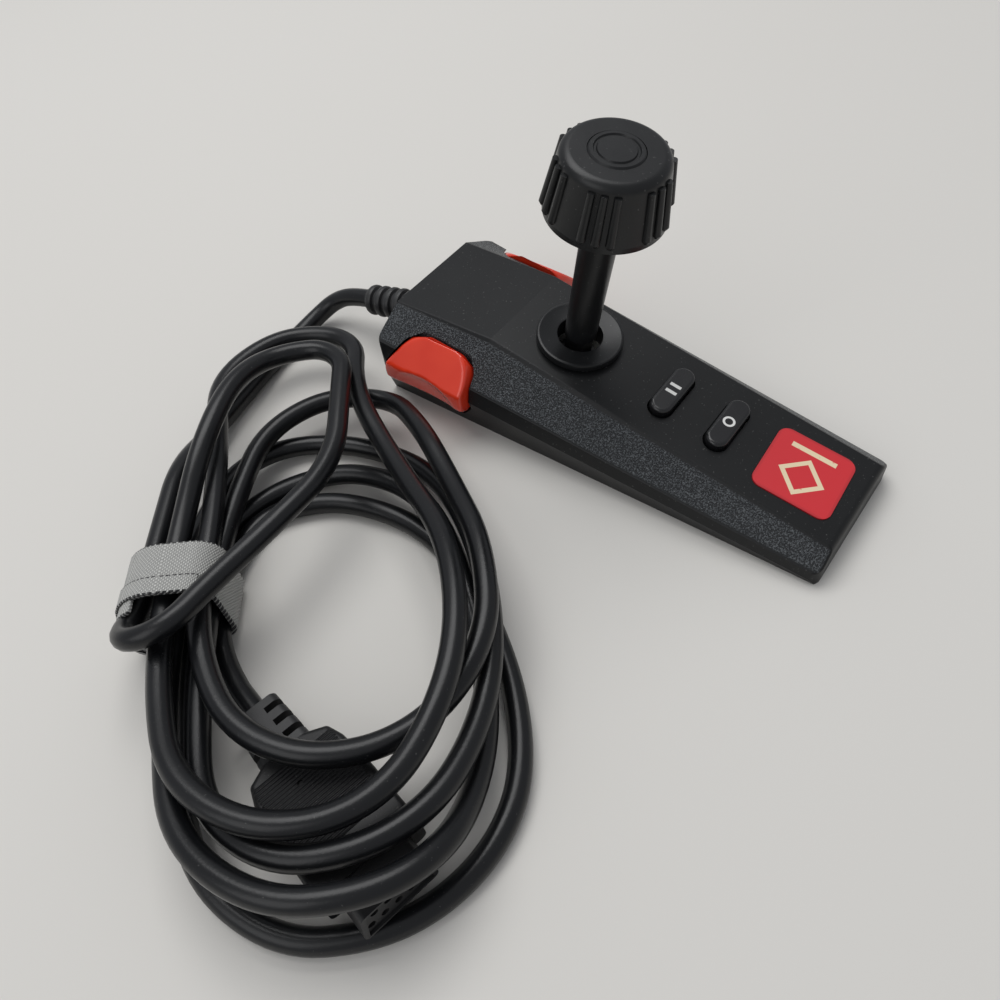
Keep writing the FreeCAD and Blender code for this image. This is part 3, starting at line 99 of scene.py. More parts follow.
# Places in the bundle: across, along and up in mm, then heading and climb in degrees
TURNS = [
    (-6.8, 15.5, 10.6, -90.0, 2.9),
    (-6.8, 0.0, 11.6, -90.0, 5.7),
    (-0.69, -16.14, 20.27, -0.1, 18.0),
    (14.54, -2.09, 20.77, 49.6, -0.1),
    (33.37, 35.06, 18.76, 90.2, 0.5),
    (23.91, 62.05, 18.02, -179.9, -0.2),
    (7.48, 44.45, 22.39, -104.2, 2.3),
    (0.0, 0.0, 14.75, -90.0, 0.0),
    (31.14, -52.98, 19.88, -3.5, -0.8),
    (59.48, -18.04, 21.49, 89.1, -2.0),
    (40.0, 39.25, 14.07, 114.1, 0.8),
    (21.36, 75.78, 10.99, -178.0, 0.9),
    (6.8, 0.0, 14.75, -90.0, 0.0),
    (36.29, -40.24, 15.87, -1.1, -3.0),
    (65.06, -10.55, 17.09, 91.1, 1.0),
    (54.61, 29.58, 12.78, 111.2, -1.7),
    (33.22, 53.88, 8.29, -178.5, 4.7),
    (6.8, 0.0, 9.3, -90.0, 0.0),
    (36.33, -57.35, 16.62, 1.8, 4.3),
    (65.23, -17.59, 11.58, 89.1, -0.2),
    (24.35, 44.34, 2.9, 175.4, 2.7),
    (0.0, 0.0, 9.3, -90.0, 0.0),
    (37.09, -64.29, 18.58, -0.8, 1.8),
    (63.23, -24.79, 6.15, 92.5, 6.6),
    (25.41, 33.01, 3.48, -178.2, -8.0),
    (0.0, 0.0, 3.85, -90.0, 0.0),
    (36.0, -67.0, 2.49, -0.0, -0.0),
    (69.12, -34.15, 2.5, 92.5, -0.1),
    (22.27, 25.93, 2.53, -177.6, 0.2),
    (6.8, 0.0, 3.85, -90.0, 0.0),
    (15.5, -22.9, 4.45, -51.0, 5.7),
]


def in_bundle(across, along, up):
    """A point of the bundle, from mm in its own directions."""
    return BUNDLE_CENTRE + (BUNDLE_ACROSS * across + BUNDLE_ALONG * along + Vector((0, 0, up))) * MM


def direction_in_bundle(heading, climb):
    """A direction in the bundle from its heading and its climb in degrees."""
    turn, rise = math.radians(heading), math.radians(climb)
    flat = BUNDLE_ACROSS * math.cos(turn) + BUNDLE_ALONG * math.sin(turn)
    return flat * math.cos(rise) + Vector((0, 0, math.sin(rise)))


print("places in the bundle:", len(TURNS))

# %% [markdown]
# Two places with their headings fix two bends that flow into each other. The line is a NURBS spline of
# order 3, which touches the middle of every leg between its control points. Four control points for
# each pair of places hold it on those bends, and that gives more than 16 of them for each turn.


# %% Control points between two places
def bend_points(start, leaving, end, arriving):
    """Control points of the two bends that join two places in their headings."""
    gap = end - start
    both = leaving + arriving
    spread = 2 * (1 - leaving.dot(arriving))
    reach = (math.sqrt(gap.dot(both) ** 2 + spread * gap.dot(gap)) - gap.dot(both)) / spread
    first = start + leaving * reach
    second = end - arriving * reach
    join = (first + second) / 2
    points = []
    for here, corner, there in ((start, first, join), (join, second, end)):
        turn = (corner - here).angle(there - corner)
        share = math.tan(turn / 4) / math.tan(turn / 2)
        points += [here.lerp(corner, share), there.lerp(corner, share)]
    return points


def cord_points():
    """The whole route: relief, free stretch, bundle, and straight into the plug."""
    turns = [(in_bundle(*row[:3]), direction_in_bundle(*row[3:])) for row in TURNS]
    enters = turns[0][0] - turns[0][1] * CORD_WIDTH
    points = [RELIEF_END, RELIEF_END + RELIEF_AXIS * RELIEF_RUN]
    points += [Vector(place) * MM for place in LEAD_POINTS]
    points += [enters - turns[0][1] * BUNDLE_RUN_IN, enters]
    for (here, out), (there, into) in zip(turns, turns[1:]):
        points += bend_points(here, out, there, into)
    return points + [turns[-1][0], turns[-1][0] + turns[-1][1] * CORD_WIDTH]


print("control points of the route:", len(cord_points()))

# %% [markdown]
# A cord is a curve with a round bevel, so its thickness is one number and its line stays smooth. The bare
# line is kept first, as a list of places. The bevelled curve is then converted to a mesh tube, because
# a live curve's own box came out a metre too large here, and the part's size is read from that box.


# %% Cord
CORD_STEPS = 9
CORD_ROUNDNESS = 5


def make_cord():
    curve = bpy.data.curves.new("cord", "CURVE")
    curve.dimensions = "3D"
    curve.resolution_u = CORD_STEPS
    spline = curve.splines.new("NURBS")
    points = cord_points()
    spline.points.add(len(points) - 1)
    for point, place in zip(spline.points, points):
        point.co = (*place, 1.0)
    spline.order_u = 3
    spline.use_endpoint_u = True
    made = bpy.data.objects.new("cord", curve)
    bpy.context.scene.collection.objects.link(made)
    line = [v.co.copy() for v in bpy.data.meshes.new_from_object(made).vertices]
    curve.bevel_depth = CORD_WIDTH / 2
    curve.bevel_resolution = CORD_ROUNDNESS
    curve.use_fill_caps = True
    bpy.ops.object.select_all(action="DESELECT")
    made.select_set(True)
    bpy.context.view_layer.objects.active = made
    bpy.ops.object.convert(target="MESH")
    made = bpy.context.object
    made.name = "cord"
    bpy.ops.object.shade_smooth_by_angle(angle=math.radians(60))
    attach(made, "housing")
    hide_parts("cord_lead", "cord_coil")
    print("cord: control points", len(points), "line in metres",
          round(sum((a - b).length for a, b in zip(line, line[1:])), 3), "faces", len(made.data.polygons))
    return made, line


cord, cord_line = make_cord()

# %% [markdown]
# A finish could be wired by hand in the shader editor. Here it is written as Python sums, which read as
# the idea does: a small class wraps a node's socket, and an expression on it adds the Math nodes. Every
# pattern reads Object coordinates, which are the part's own metres, so a pattern's scale is a real size.


# %% Shader sums
class Wire:
    """A number that changes over a surface."""

    def __init__(self, shop, socket):
        self.shop = shop
        self.socket = socket

    def _math(self, operation, *others):
        node = self.shop.tree.nodes.new("ShaderNodeMath")
        node.operation = operation
        for slot, value in zip(node.inputs, (self,) + others):
            self.shop.feed(slot, value)
        return Wire(self.shop, node.outputs[0])

    def __add__(self, other):
        return self._math("ADD", other)

    __radd__ = __add__

    def __sub__(self, other):
        return self._math("SUBTRACT", other)

    def __rsub__(self, other):
        return (self * -1.0) + other

    def __mul__(self, other):
        return self._math("MULTIPLY", other)

    __rmul__ = __mul__

    def __truediv__(self, other):
        return self._math("DIVIDE", other)

    def __abs__(self):
        return self._math("ABSOLUTE")

    def above(self, level, soft):
        """1 where this is over the level, 0 under it, with a soft step between."""
        return ((self - level) / soft + 0.5).least(1.0).most(0.0)

    def below(self, level, soft):
        """1 where this is under the level, 0 over it."""
        return 1.0 - self.above(level, soft)

    def least(self, other):
        return self._math("MINIMUM", other)

    def most(self, other):
        return self._math("MAXIMUM", other)

    def wave(self):
        return self._math("SINE")

    def root(self):
        return self._math("SQRT")

    def whole(self):
        """The whole number under this."""
        return self._math("FLOOR")

    def part(self):
        """What this has over its whole number."""
        return self._math("FRACT")


class Shop:
    """A material under construction."""

    def __init__(self, name):
        self.material = bpy.data.materials.new(name)
        self.material.use_nodes = True
        self.tree = self.material.node_tree
        self.shader = self.tree.nodes["Principled BSDF"]

    def feed(self, slot, value):
        """Links a wire or a socket to a node's slot, or sets the slot's constant."""
        if isinstance(value, Wire):
            self.tree.links.new(value.socket, slot)
        elif hasattr(value, "is_linked"):
            self.tree.links.new(value, slot)
        else:
            slot.default_value = value

    def node(self, kind, settings=None, **inputs):
        """A node of this type, its settings set first, then its sockets fed."""
        made = self.tree.nodes.new("ShaderNode" + kind)
        for name, value in (settings or {}).items():
            setattr(made, name, value)
        for name, value in inputs.items():
            self.feed(made.inputs[name.replace("_", " ")], value)
        return made

    def place(self):
        """The point on the surface, in the part's metres."""
        return self.node("TexCoord").outputs["Object"]

    def xyz(self, vector=None):
        """The three numbers of a vector, or of the place."""
        split = self.node("SeparateXYZ", Vector=vector or self.place())
        return [Wire(self, split.outputs[i]) for i in range(3)]

    def noise(self, size, detail=3.0):
        """Soft noise whose patches are about this size."""
        made = self.node("TexNoise", Vector=self.place(), Scale=1.0 / size, Detail=detail)
        return Wire(self, made.outputs["Fac"])

    def blend(self, share, first, second):
        """A colour between two, by the share of the second."""
        mix = self.node("Mix", {"data_type": "RGBA"})
        self.feed(mix.inputs[0], share)
        self.feed(mix.inputs[6], first)
        self.feed(mix.inputs[7], second)
        return mix.outputs[2]

    def bump(self, height, depth):
        """A normal that tells this height, 1 of it being this depth."""
        return self.node("Bump", Height=height, Distance=depth, Strength=1.0).outputs["Normal"]

    def finish(self, color, roughness, normal, **constants):
        """Feeds the shader: three things that change over the surface, the others constant."""
        self.feed(self.shader.inputs["Base Color"], color)
        self.feed(self.shader.inputs["Roughness"], roughness)
        self.feed(self.shader.inputs["Normal"], normal)
        for name, value in constants.items():
            self.shader.inputs[name.replace("_", " ")].default_value = value
        return self.material


def shade(red, green, blue):
    """A colour from its 0 to 255 screen values."""
    def linear(value):
        value /= 255
        return value / 12.92 if value <= 0.04045 else ((value + 0.055) / 1.055) ** 2.4
    return (linear(red), linear(green), linear(blue), 1.0)


def dress(material, *names):
    """Puts one material on CAD nodes."""
    for name in names:
        slots = bpy.data.objects[name].material_slots
        for slot in slots:
            slot.material = material
        if not len(slots):
            bpy.data.objects[name].data.materials.append(material)
    print(material.name, "on", ", ".join(names))


# %% [markdown]
# The plate slopes down from a kink behind the stick to the narrow end. Print, keys and collar all stand
# square to it. Each of them could be turned by hand, but one pair of helpers that know the slope keeps
# them true to each other: a point on the plate, and a material's own directions on it.

# %% The plate's slope
HALF_LENGTH = 57.5 * MM
SLOPE_LENGTH = 86.3 * MM
FRONT_HEIGHT = 8.2 * MM
KINK_HEIGHT = 24.0 * MM
STICK_BACK = 13.1 * MM
SLOPE = math.atan2(KINK_HEIGHT - FRONT_HEIGHT, SLOPE_LENGTH)
print("slope in degrees:", round(math.degrees(SLOPE), 2))


def plate_point(back, rise=0.0):
    """A point on the plate's middle line, or that far above it."""
    height = FRONT_HEIGHT + (back + HALF_LENGTH) * math.tan(SLOPE)
    return Vector((0, back, height)) + Vector((0, -math.sin(SLOPE), math.cos(SLOPE))) * rise


def plate_frame(shop, back, turn=0.0):
    """Across, along and off the plate from a point on it, as three wires."""
    origin = plate_point(back)
    mapping = shop.node("Mapping", {"vector_type": "TEXTURE"}, Vector=shop.place(),
                        Location=tuple(origin), Rotation=(SLOPE, 0.0, 0.0))
    across, along, off = shop.xyz(mapping.outputs[0])
    if not turn:
        return across, along, off
    cos, sin = math.cos(turn), math.sin(turn)
    return across * cos + along * sin, along * cos - across * sin, off


# %% [markdown]
# The housing is one black plastic with three skins: a smooth satin plate, bevels with a coarse pebbled
# grain, and a smooth lip and underside. They could be three materials on picked faces, but one material
# that tells them apart by place has soft borders, as the etched steel mould gives them. The grain is a
# bump of noise a third of a millimetre wide. Its zone is painted a paler grey, which is a painted sheen,
# and the pebbles' tops are paler still: painted glints where the light would catch them.


# %% Housing plastic
PLATE_HALF_WIDTH, PLATE_WIDENS = 12.9 * MM, 0.7 * MM  # at the narrow end, and from there to the cord end
BEVEL_FOOT, FOOT_RISES = 4.3 * MM, 14.0 * MM
GRAIN_SIZE, GRAIN_DETAIL, GRAIN_DEPTH = 0.36 * MM, 0.2 * MM, 0.38 * MM


def make_shell_plastic():
    shop = Shop("shell plastic")
    x, y, z = shop.xyz()
    along = (y + HALF_LENGTH) / (2 * HALF_LENGTH)
    plate_edge = along * PLATE_WIDENS + PLATE_HALF_WIDTH
    bevel_foot = along * FOOT_RISES + BEVEL_FOOT
    grained = abs(x).above(plate_edge + 0.5 * MM, 0.4 * MM) * z.above(bevel_foot, 0.3 * MM)
    grained = grained * y.above(-HALF_LENGTH + 0.6 * MM, 0.5 * MM)
    pebbles = shop.noise(GRAIN_SIZE, 1.0) * 0.65 + shop.noise(GRAIN_DETAIL, 1.0) * 0.35
    pebbles = (pebbles - 0.4).most(0.0) * 3.0
    fine = shop.noise(0.18 * MM, 2.0)
    height = pebbles * grained + fine * 0.05 * (1.0 - grained)
    smudge = shop.noise(16 * MM, 3.0)
    # painted glints: the pebbles' tops are painted pale where the light would catch them
    painted_glints = pebbles.above(0.45, 0.6) * grained
    color = shop.blend(smudge, shade(17, 18, 19), shade(24, 25, 26))
    # painted sheen: the grained zone's base is painted paler than the smooth skins
    color = shop.blend(grained, color, shade(38, 40, 42))
    color = shop.blend(painted_glints * 0.8, color, shade(118, 122, 125))
    specks = shop.noise(0.5 * MM, 1.0).above(0.735, 0.02) * (1.0 - grained)
    color = shop.blend(specks * 0.35, color, shade(120, 120, 118))
    roughness = smudge * 0.12 + 0.36 - grained * 0.06 + specks * 0.3
    return shop.finish(color, roughness, shop.bump(height, GRAIN_DEPTH), Specular_IOR_Level=0.26)


dress(make_shell_plastic(), "upper_shell", "lower_shell")

# %% [markdown]
# The stick, its collar and the knob are smooth black mouldings. Plain black looks like a hole in a
# picture, so the colour drifts between two near blacks, the gloss is uneven as fingers leave it, and a
# few pale specks are dust.


# %% Stick plastic
def make_stick_plastic(name, roughness, tone):
    shop = Shop(name)
    smudge = shop.noise(6 * MM, 3.0)
    fine = shop.noise(0.22 * MM, 2.0)
    specks = shop.noise(0.6 * MM, 1.0).above(0.74, 0.02)
    color = shop.blend(specks * 0.3, shop.blend(smudge, shade(*tone), shade(*[c + 6 for c in tone])),
                       shade(110, 110, 108))
    return shop.finish(color, smudge * 0.14 + roughness, shop.bump(fine, 0.012 * MM),
                       Specular_IOR_Level=0.36)


dress(make_stick_plastic("knob plastic", 0.28, (17, 18, 19)), "knob", "knob_cap")
stick_plastic = make_stick_plastic("stick plastic", 0.26, (16, 17, 18))
dress(stick_plastic, "stick_shaft")

# %% [markdown]
# The triggers are moulded in glossy orange-red. A flat red would look like paper, so its colour drifts
# over the long soft waves that a moulding has, the gloss is rubbed in places, and a thin clear coat
# gives the sharp highlight on the rim.


# %% Trigger plastic
def make_trigger_plastic():
    shop = Shop("trigger plastic")
    waves = shop.noise(9 * MM, 2.0)
    rubbed = shop.noise(3 * MM, 3.0)
    color = shop.blend(waves, shade(214, 48, 24), shade(230, 66, 38))
    return shop.finish(color, rubbed * 0.12 + 0.14, shop.bump(waves, 0.12 * MM),
                       Coat_Weight=0.3, Coat_Roughness=0.06)


trigger_plastic = make_trigger_plastic()
print("made", trigger_plastic.name)

# %% [markdown]
# In a window one clicks on the faces or edges that an operator should act on. In a script they are
# picked by their place and direction instead, which still finds the right ones after an earlier step
# has changed their numbers. These helpers pick, cut, copy and apply a modifier.


# %% Picking and applying
def pick(*pieces):
    """Selects only these objects, the first of them active."""
    bpy.ops.object.select_all(action="DESELECT")
    for piece in pieces:
        piece.select_set(True)
    bpy.context.view_layer.objects.active = pieces[0]


def select_where(piece, kind, test):
    """In edit mode, selects only the faces or edges whose middle passes the test."""
    bpy.ops.mesh.select_mode(type=kind)
    bpy.ops.mesh.select_all(action="DESELECT")
    mesh = bmesh.from_edit_mesh(piece.data)
    if kind == "FACE":
        for face in mesh.faces:
            face.select_set(test(face.calc_center_median(), face.normal))
    else:
        for edge in mesh.edges:
            first, second = edge.verts
            edge.select_set(test((first.co + second.co) / 2, second.co - first.co))
    bmesh.update_edit_mesh(piece.data)


def apply_modifier(piece, kind, **settings):
    """Adds a modifier, sets it and applies it."""
    modifier = piece.modifiers.new(kind.lower(), kind)
    for name, value in settings.items():
        setattr(modifier, name, value)
    bpy.ops.object.modifier_apply(modifier=modifier.name)


def cut_away(place, outwards):
    """In edit mode, cuts the whole piece by a plane and drops what lies outwards."""
    bpy.ops.mesh.select_all(action="SELECT")
    bpy.ops.mesh.bisect(plane_co=place, plane_no=outwards, clear_outer=True, use_fill=True)


def copy_node(name, new_name):
    """A copy of a CAD node with its own mesh, the only thing selected."""
    node = bpy.data.objects[name]
    copy = node.copy()
    copy.data = node.data.copy()
    copy.name = new_name
    bpy.context.scene.collection.objects.link(copy)
    pick(copy)
    return copy


def turn_normals_out():
    """In object mode, makes the active piece's faces point outwards."""
    bpy.ops.object.mode_set(mode="EDIT")
    bpy.ops.mesh.select_all(action="SELECT")
    bpy.ops.mesh.normals_make_consistent(inside=False)
    bpy.ops.object.mode_set(mode="OBJECT")


def paint(piece, material):
    """Gives a piece this material alone."""
    piece.data.materials.clear()
    piece.data.materials.append(material)


# %% [markdown]
# A real trigger's pad is a soft form: its rim rolls over in a wide round, and its lower half is scooped
# out for the fingertip. Bevels alone make a hard rim, and sculpting can't be repeated from a script. So
# it is cut from a block by planes, one for each side of its outline. A stretched sphere takes out the
# scoop, and a remesh with a smoothing makes one flowing skin. The smoothing shrinks the pad a little, so
# the outline is grown beforehand. Its hinge arm inside the housing is the CAD node's own, joined to it.

# %% Triggers
PAD_SIDE = [(54.0, 8.0), (54.4, 12.5), (50.0, 18.5), (43.0, 21.6), (33.5, 20.6), (30.4, 17.0), (30.6, 8.0),
            (34.5, 3.0)]  # along and up, in mm
PAD_GROW = 0.35 * MM
PAD_MIDDLE, PAD_BLOCK = Vector((21.65, 42.4, 12.4)) * MM, Vector((7.4, 26, 21)) * MM
PAD_SLANTS = (((25.3, 0, 14), (7.5, 0, 6.3)), ((25.0, 0, 9), (7.0, 0, -3.0)))  # place in mm, outwards
PAD_CORNER = 2.6 * MM
SCOOP_MIDDLE, SCOOP_REACH = Vector((31.4, 42.0, 8.0)) * MM, Vector((8, 15, 11)) * MM
SKIN_CELL = 0.28 * MM
SKIN_PASSES = 34
ARM_END = 17.99 * MM


def make_pad_block(name):
    """The pad's outline as a block with rounded corners, on the right side of the part."""
    bpy.ops.object.select_all(action="DESELECT")
    bpy.ops.mesh.primitive_cube_add(size=1.0, location=PAD_MIDDLE, scale=PAD_BLOCK)
    pad = bpy.context.object
    pad.name = name
    bpy.ops.object.transform_apply(location=True, rotation=False, scale=True)
    bpy.ops.object.mode_set(mode="EDIT")
    for (back, up), (next_back, next_up) in zip(PAD_SIDE, PAD_SIDE[1:] + PAD_SIDE[:1]):
        out = Vector((0, next_up - up, back - next_back)).normalized()
        start = Vector((0, back, up)) * MM
        if out.dot(start - Vector((0, PAD_MIDDLE.y, PAD_MIDDLE.z))) < 0:
            out = -out
        cut_away(start + out * PAD_GROW, out)
    for place, out in PAD_SLANTS:
        cut_away(Vector(place) * MM, out)
    bpy.ops.mesh.select_all(action="SELECT")
    bpy.ops.mesh.remove_doubles(threshold=0.005 * MM)
    select_where(pad, "EDGE", lambda place, way: abs(way.x) > 0.95 * way.length)
    bpy.ops.mesh.bevel(offset=PAD_CORNER, segments=4, profile=0.5, affect="EDGES")
    bpy.ops.object.mode_set(mode="OBJECT")
    return pad


def soften_pad(pad):
    """Takes out the scoop and makes the pad one smooth skin."""
    bpy.ops.object.select_all(action="DESELECT")
    bpy.ops.mesh.primitive_uv_sphere_add(segments=64, ring_count=32, radius=1.0, location=SCOOP_MIDDLE,
                                         scale=SCOOP_REACH)
    scoop = bpy.context.object
    bpy.ops.object.transform_apply(location=True, rotation=False, scale=True)
    pick(pad)
    apply_modifier(pad, "BOOLEAN", operation="DIFFERENCE", object=scoop, solver="EXACT")
    bpy.data.objects.remove(scoop)
    apply_modifier(pad, "REMESH", mode="VOXEL", voxel_size=SKIN_CELL)
    apply_modifier(pad, "SMOOTH", factor=0.5, iterations=SKIN_PASSES)


def make_trigger_pad(name, node, body, side):
    """One trigger: side is 1 on the right of the part and -1 on the left."""
    pad = make_pad_block(name)
    soften_pad(pad)
    arm = copy_node(node, name + "_arm")
    bpy.ops.object.mode_set(mode="EDIT")
    bpy.ops.mesh.select_all(action="SELECT")
    bpy.ops.mesh.remove_doubles(threshold=0.001 * MM)
    cut_away((side * ARM_END, 0, 0), (side, 0, 0))
    bpy.ops.object.mode_set(mode="OBJECT")
    if side < 0:
        pick(pad)
        pad.scale = (-1, 1, 1)
        bpy.ops.object.transform_apply(location=False, rotation=False, scale=True)
        turn_normals_out()
    pick(pad, arm)
    bpy.ops.object.join()
    bpy.ops.object.shade_smooth_by_angle(angle=math.radians(50))
    paint(pad, trigger_plastic)
    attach(pad, body)
    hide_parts(node)
    print(name, "faces", len(pad.data.polygons))


make_trigger_pad("left_pad", "left_trigger", "left_pull", -1)
make_trigger_pad("right_pad", "right_trigger", "right_pull", 1)

# %% [markdown]
# The knob's six groups of three ribs stand where the photograph shows them, one facing the near side.
# The knob fits the stick in any turn, so nothing needs to be modelled again: a copy of the CAD knob is
# turned half a group about the stick. It keeps the CAD mesh's own normals, which shade its ribs cleanly.


# %% Knob
HALF_GROUP = math.radians(30)


def turn_knob():
    foot = plate_point(STICK_BACK)
    up = plate_point(STICK_BACK, 1.0) - foot
    knob = copy_node("knob", "ribbed_knob")
    knob.matrix_world = (Matrix.Translation(foot) @ Matrix.Rotation(HALF_GROUP, 4, up)
                         @ Matrix.Translation(-foot))
    bpy.ops.object.transform_apply(location=True, rotation=True, scale=True)
    middle = sum((v.co for v in knob.data.vertices), Vector()) / len(knob.data.vertices) - foot
    print("knob's middle from its axis, mm:", round((middle - up * middle.dot(up)).length / MM, 3))
    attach(knob, "stick")
    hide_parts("knob")


turn_knob()

# %% [markdown]
# The collar is a flat disc with a fine raised rim, a rolled edge round its hole and a sleeve under it.
# Spin could sweep its profile round, but a turned form is as quick to draw from a ring: each step extrudes
# the ring's edge up or down and scales it, as a lathe would cut it, and a last bridge closes the underside.


# %% Collar
COLLAR_STEPS = ((10.1, 0.7), (10.1, 1.8), (9.98, 2.08), (9.75, 2.2), (9.35, 2.2), (9.15, 2.08),
                (5.75, 2.05), (5.36, 1.93), (5.2, 1.55), (5.2, -2.5), (6.2, -2.5), (6.2, 0.7))  # radius, up


def make_collar_disc():
    first_radius, first_height = COLLAR_STEPS[0]
    bpy.ops.object.select_all(action="DESELECT")
    bpy.ops.mesh.primitive_circle_add(vertices=96, radius=first_radius * MM, fill_type="NOTHING",
                                      location=(0, 0, 0))
    disc = bpy.context.object
    disc.name = "collar_disc"
    bpy.ops.object.mode_set(mode="EDIT")
    bpy.ops.mesh.select_all(action="SELECT")
    bpy.ops.transform.translate(value=(0, 0, first_height * MM))
    for (radius, height), (next_radius, next_height) in zip(COLLAR_STEPS, COLLAR_STEPS[1:]):
        bpy.ops.mesh.extrude_region_move(
            TRANSFORM_OT_translate={"value": (0, 0, (next_height - height) * MM)})
        grow = next_radius / radius
        bpy.ops.transform.resize(value=(grow, grow, 1), center_override=(0, 0, 0))
    select_where(disc, "EDGE", lambda place, way: abs(place.z - first_height * MM) < 0.01 * MM
                 and abs(way.z) < 0.001 * MM)
    bpy.ops.mesh.bridge_edge_loops()
    bpy.ops.object.mode_set(mode="OBJECT")
    turn_normals_out()
    bpy.ops.object.shade_smooth_by_angle(angle=math.radians(32))
    disc.matrix_world = Matrix.Translation(plate_point(STICK_BACK)) @ Matrix.Rotation(SLOPE, 4, "X")
    bpy.ops.object.transform_apply(location=True, rotation=True, scale=True)
    paint(disc, stick_plastic)
    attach(disc, "housing")
    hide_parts("stick_collar")
    top, cad_top = max(v.co.z for v in disc.data.vertices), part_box("stick_collar")[1][2]
    print("collar's top here and in the CAD, mm:", round(top / MM, 2), round(cad_top / MM, 2))


make_collar_disc()

# %% [markdown]
# The keys are gloss black with a white print on top: two plain bars on one, a plain ring on the other.
# Print this small could be a picture on the face, but masks drawn from sums in the key's own directions
# stay sharp at any distance.


# %% Keys
REAR_KEY, FRONT_KEY = -11.7 * MM, -25.7 * MM
KEY_TOP = 1.7 * MM
PRINT_EDGE = 0.08 * MM


def make_key_plastic(name, back, mark):
    shop = Shop(name)
    across, along, off = plate_frame(shop, back)
    smudge = shop.noise(5 * MM, 2.0)
    ink = mark(across, along) * off.above(KEY_TOP, 0.05 * MM)
    color = shop.blend(ink, shade(15, 15, 17), shade(232, 232, 228))
    return shop.finish(color, smudge * 0.1 + 0.22 + ink * 0.2, shop.bump(ink + smudge * 0.1, 0.03 * MM),
                       Coat_Weight=0.2, Coat_Roughness=0.1)


def two_bars(across, along):
    bars = abs(abs(across) - 1.05 * MM).below(0.42 * MM, PRINT_EDGE)
    return bars * abs(along).below(1.35 * MM, PRINT_EDGE)


def plain_ring(across, along):
    reach = (across * across + along * along).root()
    return abs(reach - 1.15 * MM).below(0.26 * MM, PRINT_EDGE)


dress(make_key_plastic("rear key plastic", REAR_KEY, two_bars), "rear_key")
dress(make_key_plastic("front key plastic", FRONT_KEY, plain_ring), "front_key")

# %% [markdown]
# The badge is a printed foil label, red with a plain cream diamond outline and a bar under it. Lines as
# straight as these are sums too: the distance from a diamond is one coordinate's size plus the other's.
# The die-cut label is darker in a thin rim along its edge, and the print is worn in small flecks.


# %% Badge
BADGE_PLACE, BADGE_TURN = -44.4 * MM, math.radians(2.8)
BADGE_EDGE = 0.12 * MM


def make_badge_print():
    shop = Shop("badge print")
    across, along, off = plate_frame(shop, BADGE_PLACE, BADGE_TURN)
    reach = abs(across + 1.6 * MM) + abs(along)
    diamond = abs(reach - 4.6 * MM).below(0.75 * MM, BADGE_EDGE)
    bar = abs(across - 5.6 * MM).below(0.65 * MM, BADGE_EDGE) * abs(along).below(5.2 * MM, BADGE_EDGE)
    ink = diamond.most(bar)
    wear = shop.noise(1.6 * MM, 4.0)
    flecks = wear.above(0.70, 0.06)
    rim = abs(across).most(abs(along)).above(8.5 * MM, 0.5 * MM)
    color = shop.blend(ink * (1.0 - flecks * 0.5), shade(208, 40, 48), shade(233, 214, 178))
    color = shop.blend(rim * 0.4, color, shade(150, 30, 38))
    return shop.finish(color, wear * 0.2 + 0.34, shop.bump(ink * 0.4 + wear * 0.3, 0.03 * MM))


dress(make_badge_print(), "badge")

# %% [markdown]
# Rubber, metal and the hidden board show when the part is turned over or opened. Each needs only two
# close tones and a fine texture of its own, so one function makes them all from a few numbers.


# %% Small finishes
FINE_DEPTH = 0.02 * MM


def make_small_finish(name, dark, light, grain, roughness, metallic=0.0):
    shop = Shop(name)
    patches = shop.noise(grain * 12, 3.0)
    fine = shop.noise(grain, 3.0)
    return shop.finish(shop.blend(patches, shade(*dark), shade(*light)), fine * 0.15 + roughness,
                       shop.bump(fine, FINE_DEPTH), Metallic=metallic)


dress(make_small_finish("soft rubber", (30, 30, 31), (40, 40, 41), 0.3 * MM, 0.38),
      "strain_relief", "plug_relief")
dress(make_small_finish("zinc steel", (150, 150, 148), (186, 186, 182), 0.2 * MM, 0.3, 1.0),
      "case_screws", "board_screws", "knob_screw", "trigger_pins")
dress(make_small_finish("board lacquer", (26, 92, 48), (36, 112, 60), 0.5 * MM, 0.35), "circuit_board")
dress(make_small_finish("natural moulding", (150, 150, 146), (172, 172, 166), 0.4 * MM, 0.45),
      "pivot_ring", "contact_disc", "left_leaf", "right_leaf", "wire_block")
dress(make_small_finish("dome rubber", (130, 130, 124), (160, 160, 152), 0.4 * MM, 0.5),
      "stick_domes", "key_domes")
dress(make_small_finish("nose plastic", (22, 22, 23), (30, 30, 31), 0.25 * MM, 0.42), "plug_nose")
dress(make_small_finish("contact metal", (120, 104, 70), (150, 130, 90), 0.2 * MM, 0.35, 1.0),
      "plug_contacts")

# %% [markdown]
# The plug's moulding has fine ridges across its two broad faces for the fingers. They are too shallow to
# model, so they are a bump in the plug's own directions: how far along its axis a point stands decides
# where it is on a ridge.


# %% Plug plastic
PLUG_START = cord_points()[-1]
PLUG_AXIS = direction_in_bundle(*TURNS[-1][3:])
PLUG_ACROSS = PLUG_AXIS.cross(Vector((0, 0, 1))).normalized()
PLUG_UP = PLUG_ACROSS.cross(PLUG_AXIS).normalized()
NECK_LENGTH = 13.0 * MM
RIDGE_PITCH = 0.74 * MM
BORDER = 0.3 * MM


